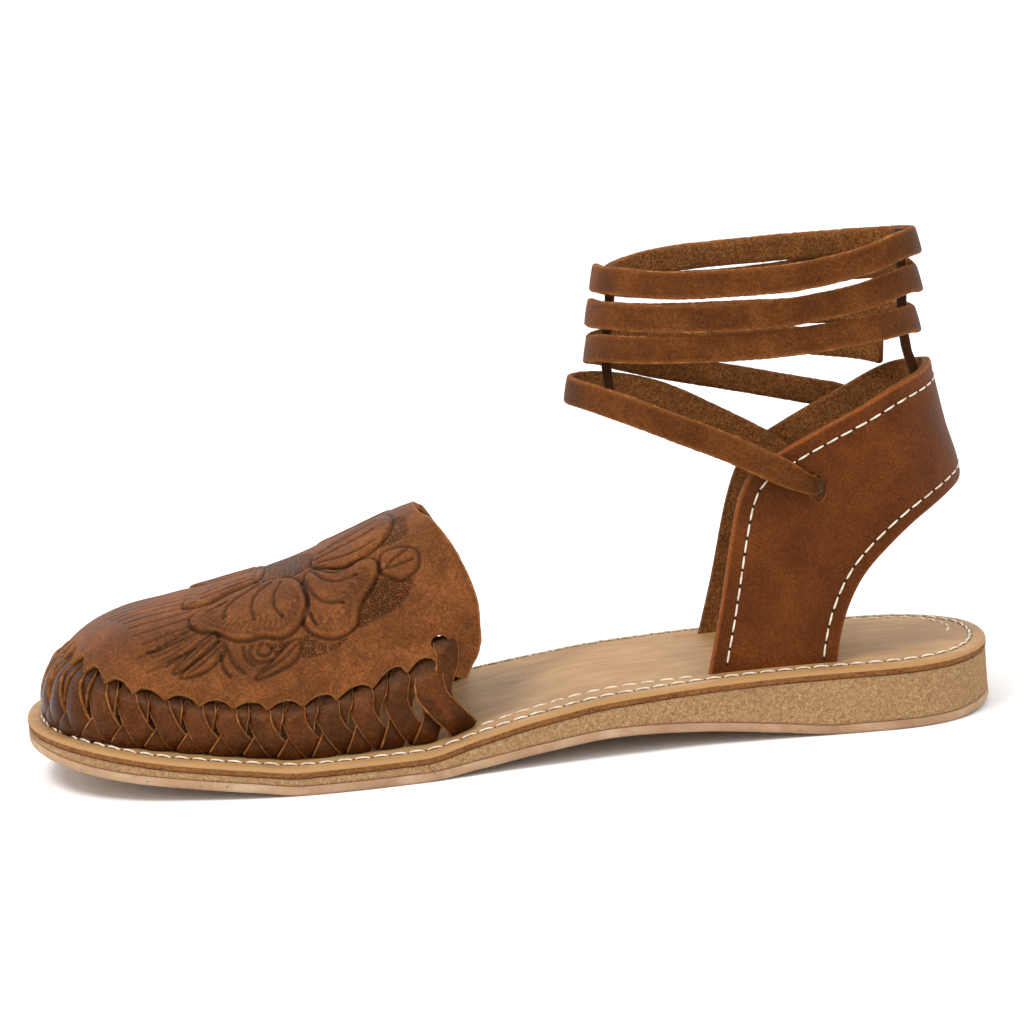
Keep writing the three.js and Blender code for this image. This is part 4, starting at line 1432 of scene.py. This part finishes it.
def cuff_edges(run, side):
    wrap = np.where(side < 0, curve(CUFF_LEADING, 1)(run), curve(CUFF_LEADING, 2)(run))
    lead = np.stack([wrap, curve(CUFF_LEADING, 3)(run)], axis=-1)
    trail = np.stack([curve(CUFF_TRAILING, 1)(run), curve(CUFF_TRAILING, 2)(run)], axis=-1)
    return lead, trail


def make_cuff():
    rounds, rows = 481, 45
    t = np.linspace(-1, 1, rounds)
    run = 1 - np.abs(t)
    side = np.where(t < 0, -1.0, 1.0)
    lead, trail = cuff_edges(run, side)
    across = np.linspace(0, 1, rows)
    wrap = mix(trail[:, None, 0], lead[:, None, 0], across[None])
    z = mix(trail[:, None, 1], lead[:, None, 1], across[None])
    s = side[:, None] + 0 * wrap
    width = 30.0
    away = np.minimum(across, 1 - across)[None] * width
    lip = 0.3 * np.exp(-((away - 0.7) ** 2) / 0.5)
    channel = -0.16 * np.exp(-((away - 3.0) ** 2) / 0.35)
    outer = cuff_point(wrap, z, s, -(lip + channel) * 0.5)
    inner = cuff_point(wrap, z, s, CUFF_WALL)[:, ::-1]
    # The rim: a rounded outer layer, a groove, and the inner layer.
    rim_steps = [(0.12, 0.3), (0.34, 0.42), (0.48, 0.0), (0.62, 0.36), (0.86, 0.3)]
    lead_out = unit(outer[:, -1] - outer[:, -2])
    trail_out = unit(outer[:, 0] - outer[:, 1])
    lead_rim = [mix(outer[:, -1], inner[:, 0], d) + lead_out * b for d, b in rim_steps]
    trail_rim = [mix(inner[:, -1], outer[:, 0], 1 - d) + trail_out * b for d, b in rim_steps[::-1]]
    rings = np.concatenate([outer, np.stack(lead_rim, 1), inner, np.stack(trail_rim, 1)], axis=1)
    points, faces = tube(rings)
    m = rings.shape[1]
    column = [0] * (rows + 1) + [2] * 2 + [0] + [1] * rows + [0] * (m - 2 * rows - 7) + [2] * 2 + [0]
    tone = np.zeros(m)
    tone[[0, rows - 1, rows, m - 1]] = 0.4, 0.9, 1.0, 0.6
    value = np.concatenate([np.tile(tone, rounds), [0, 0]])
    materials = [M_CUFF, M_FLESH, M_EDGE]
    cuff = make("cuff_leather", points, faces, materials, tube_slots(column, rings, 1), value)
    c, s = circle(28)
    x, z = c * HOLE_REACH[0] + HOLE[0], s * HOLE_REACH[1] + HOLE[1]
    cut(cuff, *tube(np.array([np.hstack([x, 0 * c + y, z]) for y in (-60, 60)])), materials)
    return place(cuff, "cuff_leather", "heel_cuff")


CUFF_SEAM_FOOT = 18.8


def cuff_row(edge, inset):
    """Wraps and heights of a seam on the cuff, a distance inside one of its edges."""
    flat = np.stack([edge[:, 0] * cuff_length(edge[:, 1]), edge[:, 1]], axis=1)
    along = unit(np.gradient(flat, axis=0))
    flat = flat + np.stack([-along[:, 1], along[:, 0]], axis=1) * inset
    flat = flat[flat[:, 1] > CUFF_SEAM_FOOT]
    wrap = flat[:, 0] / cuff_length(flat[:, 1])
    return wrap[wrap <= 1], flat[wrap <= 1, 1]


def make_cuff_stitching():
    parts = Parts()
    for side in (-1.0, 1.0):
        lead, trail = cuff_edges(np.linspace(0, 1, 200), side)
        for edge, inset in ((lead, -3.9), (trail, 3.3)):
            wrap, z = cuff_row(edge, inset)
            line = cuff_point(wrap, z, side, 0.05)
            out = cuff_point(wrap, z, side, -1.0) - line
            sew(parts, line, out, pitch=4.3, gap=0.9, thick=0.54, rise=0.16, lean=0.0, hole=0.4)
    return place(parts.make("cuff_stitching", [M_THREAD, M_PAINTED_SHADE]), "thread")


# ---------------------------------------------------------------- strap

ankle_front = curve(ANKLE, 1)
ankle_back = curve(ANKLE, 2)
ankle_half = curve(ANKLE, 3)


def ankle_point(turn, z, tuck):
    angle = np.radians(turn)
    power = 2 / ANKLE_POWER
    centre = (ankle_front(z) + ankle_back(z)) / 2
    length = (ankle_back(z) - ankle_front(z)) / 2 - tuck
    x = centre + length * powered(np.cos(angle), power)
    y = ANKLE_Y + (ankle_half(z) - tuck) * powered(np.sin(angle), power)
    return np.stack([x, y, z], axis=-1)


def wound(table, step=12):
    count = round((table[-1][0] - table[0][0]) / step)
    turn = np.linspace(table[0][0], table[-1][0], count + 1)
    return ankle_point(turn, curve(table, 1)(turn), curve(table, 2)(turn))


def outward_at(path):
    """The level direction in which the ankle's oval faces outward at the angle of each place."""
    length = (ankle_back(path[:, 2]) - ankle_front(path[:, 2])) / 2
    half = ankle_half(path[:, 2])
    u = (path[:, 0] - ankle_back(path[:, 2]) + length) / length
    v = (path[:, 1] - ANKLE_Y) / half
    power = ANKLE_POWER - 1
    return unit(np.stack([powered(u, power) / length, powered(v, power) / half, 0 * u], axis=1))


def ribbon(parts, path, width, thick, seed, flare=0.0):
    """A strip that faces away from the ankle: grained outside, rough inside, with cut edges."""
    tangent = unit(np.gradient(path, axis=0))
    across = unit(np.cross(tangent, outward_at(path)))
    face = np.cross(across, tangent)
    # The lower edge stands out a little more than the upper one.
    down = -np.sign(across[:, 2:3]) * np.clip(np.abs(across[:, 2:3]) * 3 - 1.5, 0, 1)
    across = unit(across + face * down * flare)
    face = np.cross(across, tangent)
    n = len(path)
    w = (np.broadcast_to(width, n) / 2)[:, None]
    h = thick / 2
    profile = [(-0.9, 0.93), (-0.6, 1.0), (-0.2, 1.04), (0.2, 1.04), (0.6, 1.0), (0.9, 0.93)]
    profile += [(0.99, 0.55), (1.02, 0.0), (1.0, -0.6), (0.93, -1.0), (0.5, -1.0), (0.0, -1.0), (-0.5, -1.0)]
    profile += [(-0.93, -1.0), (-1.0, -0.6), (-1.02, 0.0), (-0.99, 0.55)]
    rings = np.stack([path + across * w * a + face * h * b for a, b in profile], axis=1)
    fuzz = wobble(rings, 0.45, seed)
    soft = wobble(rings, 4.0, seed + 1)
    for k, (a, b) in enumerate(profile):
        if abs(a) > 0.95:
            rings[:, k] += across * (np.sign(a) * (0.13 * fuzz[:, k] + 0.14 * soft[:, k]))[:, None]
        if b < -0.5:
            rings[:, k] += face * (0.1 * fuzz[:, k])[:, None]
    points, faces = tube(rings)
    slots = tube_slots([0] * 5 + [2] * 4 + [1] * 4 + [2] * 4, rings, 2)
    tone = np.zeros(len(profile))
    tone[[0, 5]] = 0.35
    parts.add(points, faces, slots, np.concatenate([np.tile(tone, n), [0, 0]]))


def make_strap():
    parts = Parts()
    lead = np.array(STRAP_LEAD, float)
    route = np.vstack([lead[:, :3], wound(STRAP_WOUND)])
    path = spline(route, 1600)
    along = lengths(path)
    near = [np.argmin(np.linalg.norm(path - p, axis=1)) for p in lead[:, :3]]
    at = np.maximum.accumulate(along[near] + np.arange(len(near)) * 1e-3)
    width = curve(np.column_stack([np.append(at, along[-1] + 1), np.append(lead[:, 3], STRAP[0])]))(along)
    path = smooth(path, 20)
    ribbon(parts, path, width, STRAP[1], 41, 0.22)
    ribbon(parts, spline(wound(STRAP_TAIL), 240), STRAP[0], STRAP[1], 51)
    strap = parts.make("strap_leather", [M_STRAP, M_FLESH, M_STRAP_EDGE])
    return place(strap, "strap_leather", "ankle_strap")


def make_keeper(name, table, node, seed):
    """A thong inside the rings of the strap, nearly square in section."""
    parts = Parts()
    p = np.array(table, float)
    path = spline(np.column_stack([p[:, 0], np.full(len(p), ANKLE_Y), p[:, 1]]), 44)
    tangent = unit(np.gradient(path, axis=0))
    face = np.stack([tangent[:, 2], 0 * tangent[:, 0], -tangent[:, 0]], axis=1)[:, None]
    a, b = (powered(part, 0.55) * size / 2 for part, size in zip(circle(16), KEEPER))
    rings = path[:, None] + a * np.array([0.0, 1.0, 0.0]) + face * b
    rings += face * 0.1 * wobble(rings, 1.0, seed)[..., None]
    parts.add(*tube(rings))
    return place(parts.make(name, [M_THONG]), "thong_leather", node)


# ---------------------------------------------------------------- floor and light


def make_stage():
    f = Finish("studio_floor", 0.9, 0.0)
    f.colour = f.ramp(f.noise(0.004, 2, 0.5), (0.0, (0.93, 0.93, 0.93, 1)), (1.0, (0.95, 0.95, 0.95, 1)))
    reach = 9000.0
    corners = [(-reach, -reach, 0), (reach, -reach, 0), (reach, reach, 0), (-reach, reach, 0)]
    floor = make("studio_floor", corners, [[0, 1, 2, 3]], [f.set()])
    world = bpy.data.worlds.new("studio")
    bpy.context.scene.world = world
    world.use_nodes = True
    back = world.node_tree.nodes["Background"]
    back.inputs[0].default_value = (1, 1, 1, 1)
    back.inputs[1].default_value = 1.07
    lamps = [
        ("key", (-520, -420, 900), (450, 350), 6.5),
        ("fill", (560, -560, 520), (500, 500), 1.0),
        ("rim", (100, 700, 700), (800, 300), 1.5),
    ]
    for name, at, size, power in lamps:
        data = bpy.data.lights.new(name, "AREA")
        data.shape = "RECTANGLE"
        data.size, data.size_y = size[0] * MM, size[1] * MM
        data.energy = power
        lamp = bpy.data.objects.new(name, data)
        bpy.context.scene.collection.objects.link(lamp)
        place_at = Vector(at) * MM
        aim = Vector((-90, 0, 40)) * MM - place_at
        lamp.matrix_world = Matrix.Translation(place_at) @ aim.to_track_quat("-Z", "Y").to_matrix().to_4x4()


# ---------------------------------------------------------------- the sandal

make_outsole()
make_midsole()
make_insole()
make_insole_stitching()
make_vamp()
make_lacing()
make_cuff()
make_cuff_stitching()
make_strap()
make_keeper("back_thong", BACK_KEEPER, "back_keeper", 61)
make_keeper("front_thong", FRONT_KEEPER, "front_keeper", 62)
make_stage()
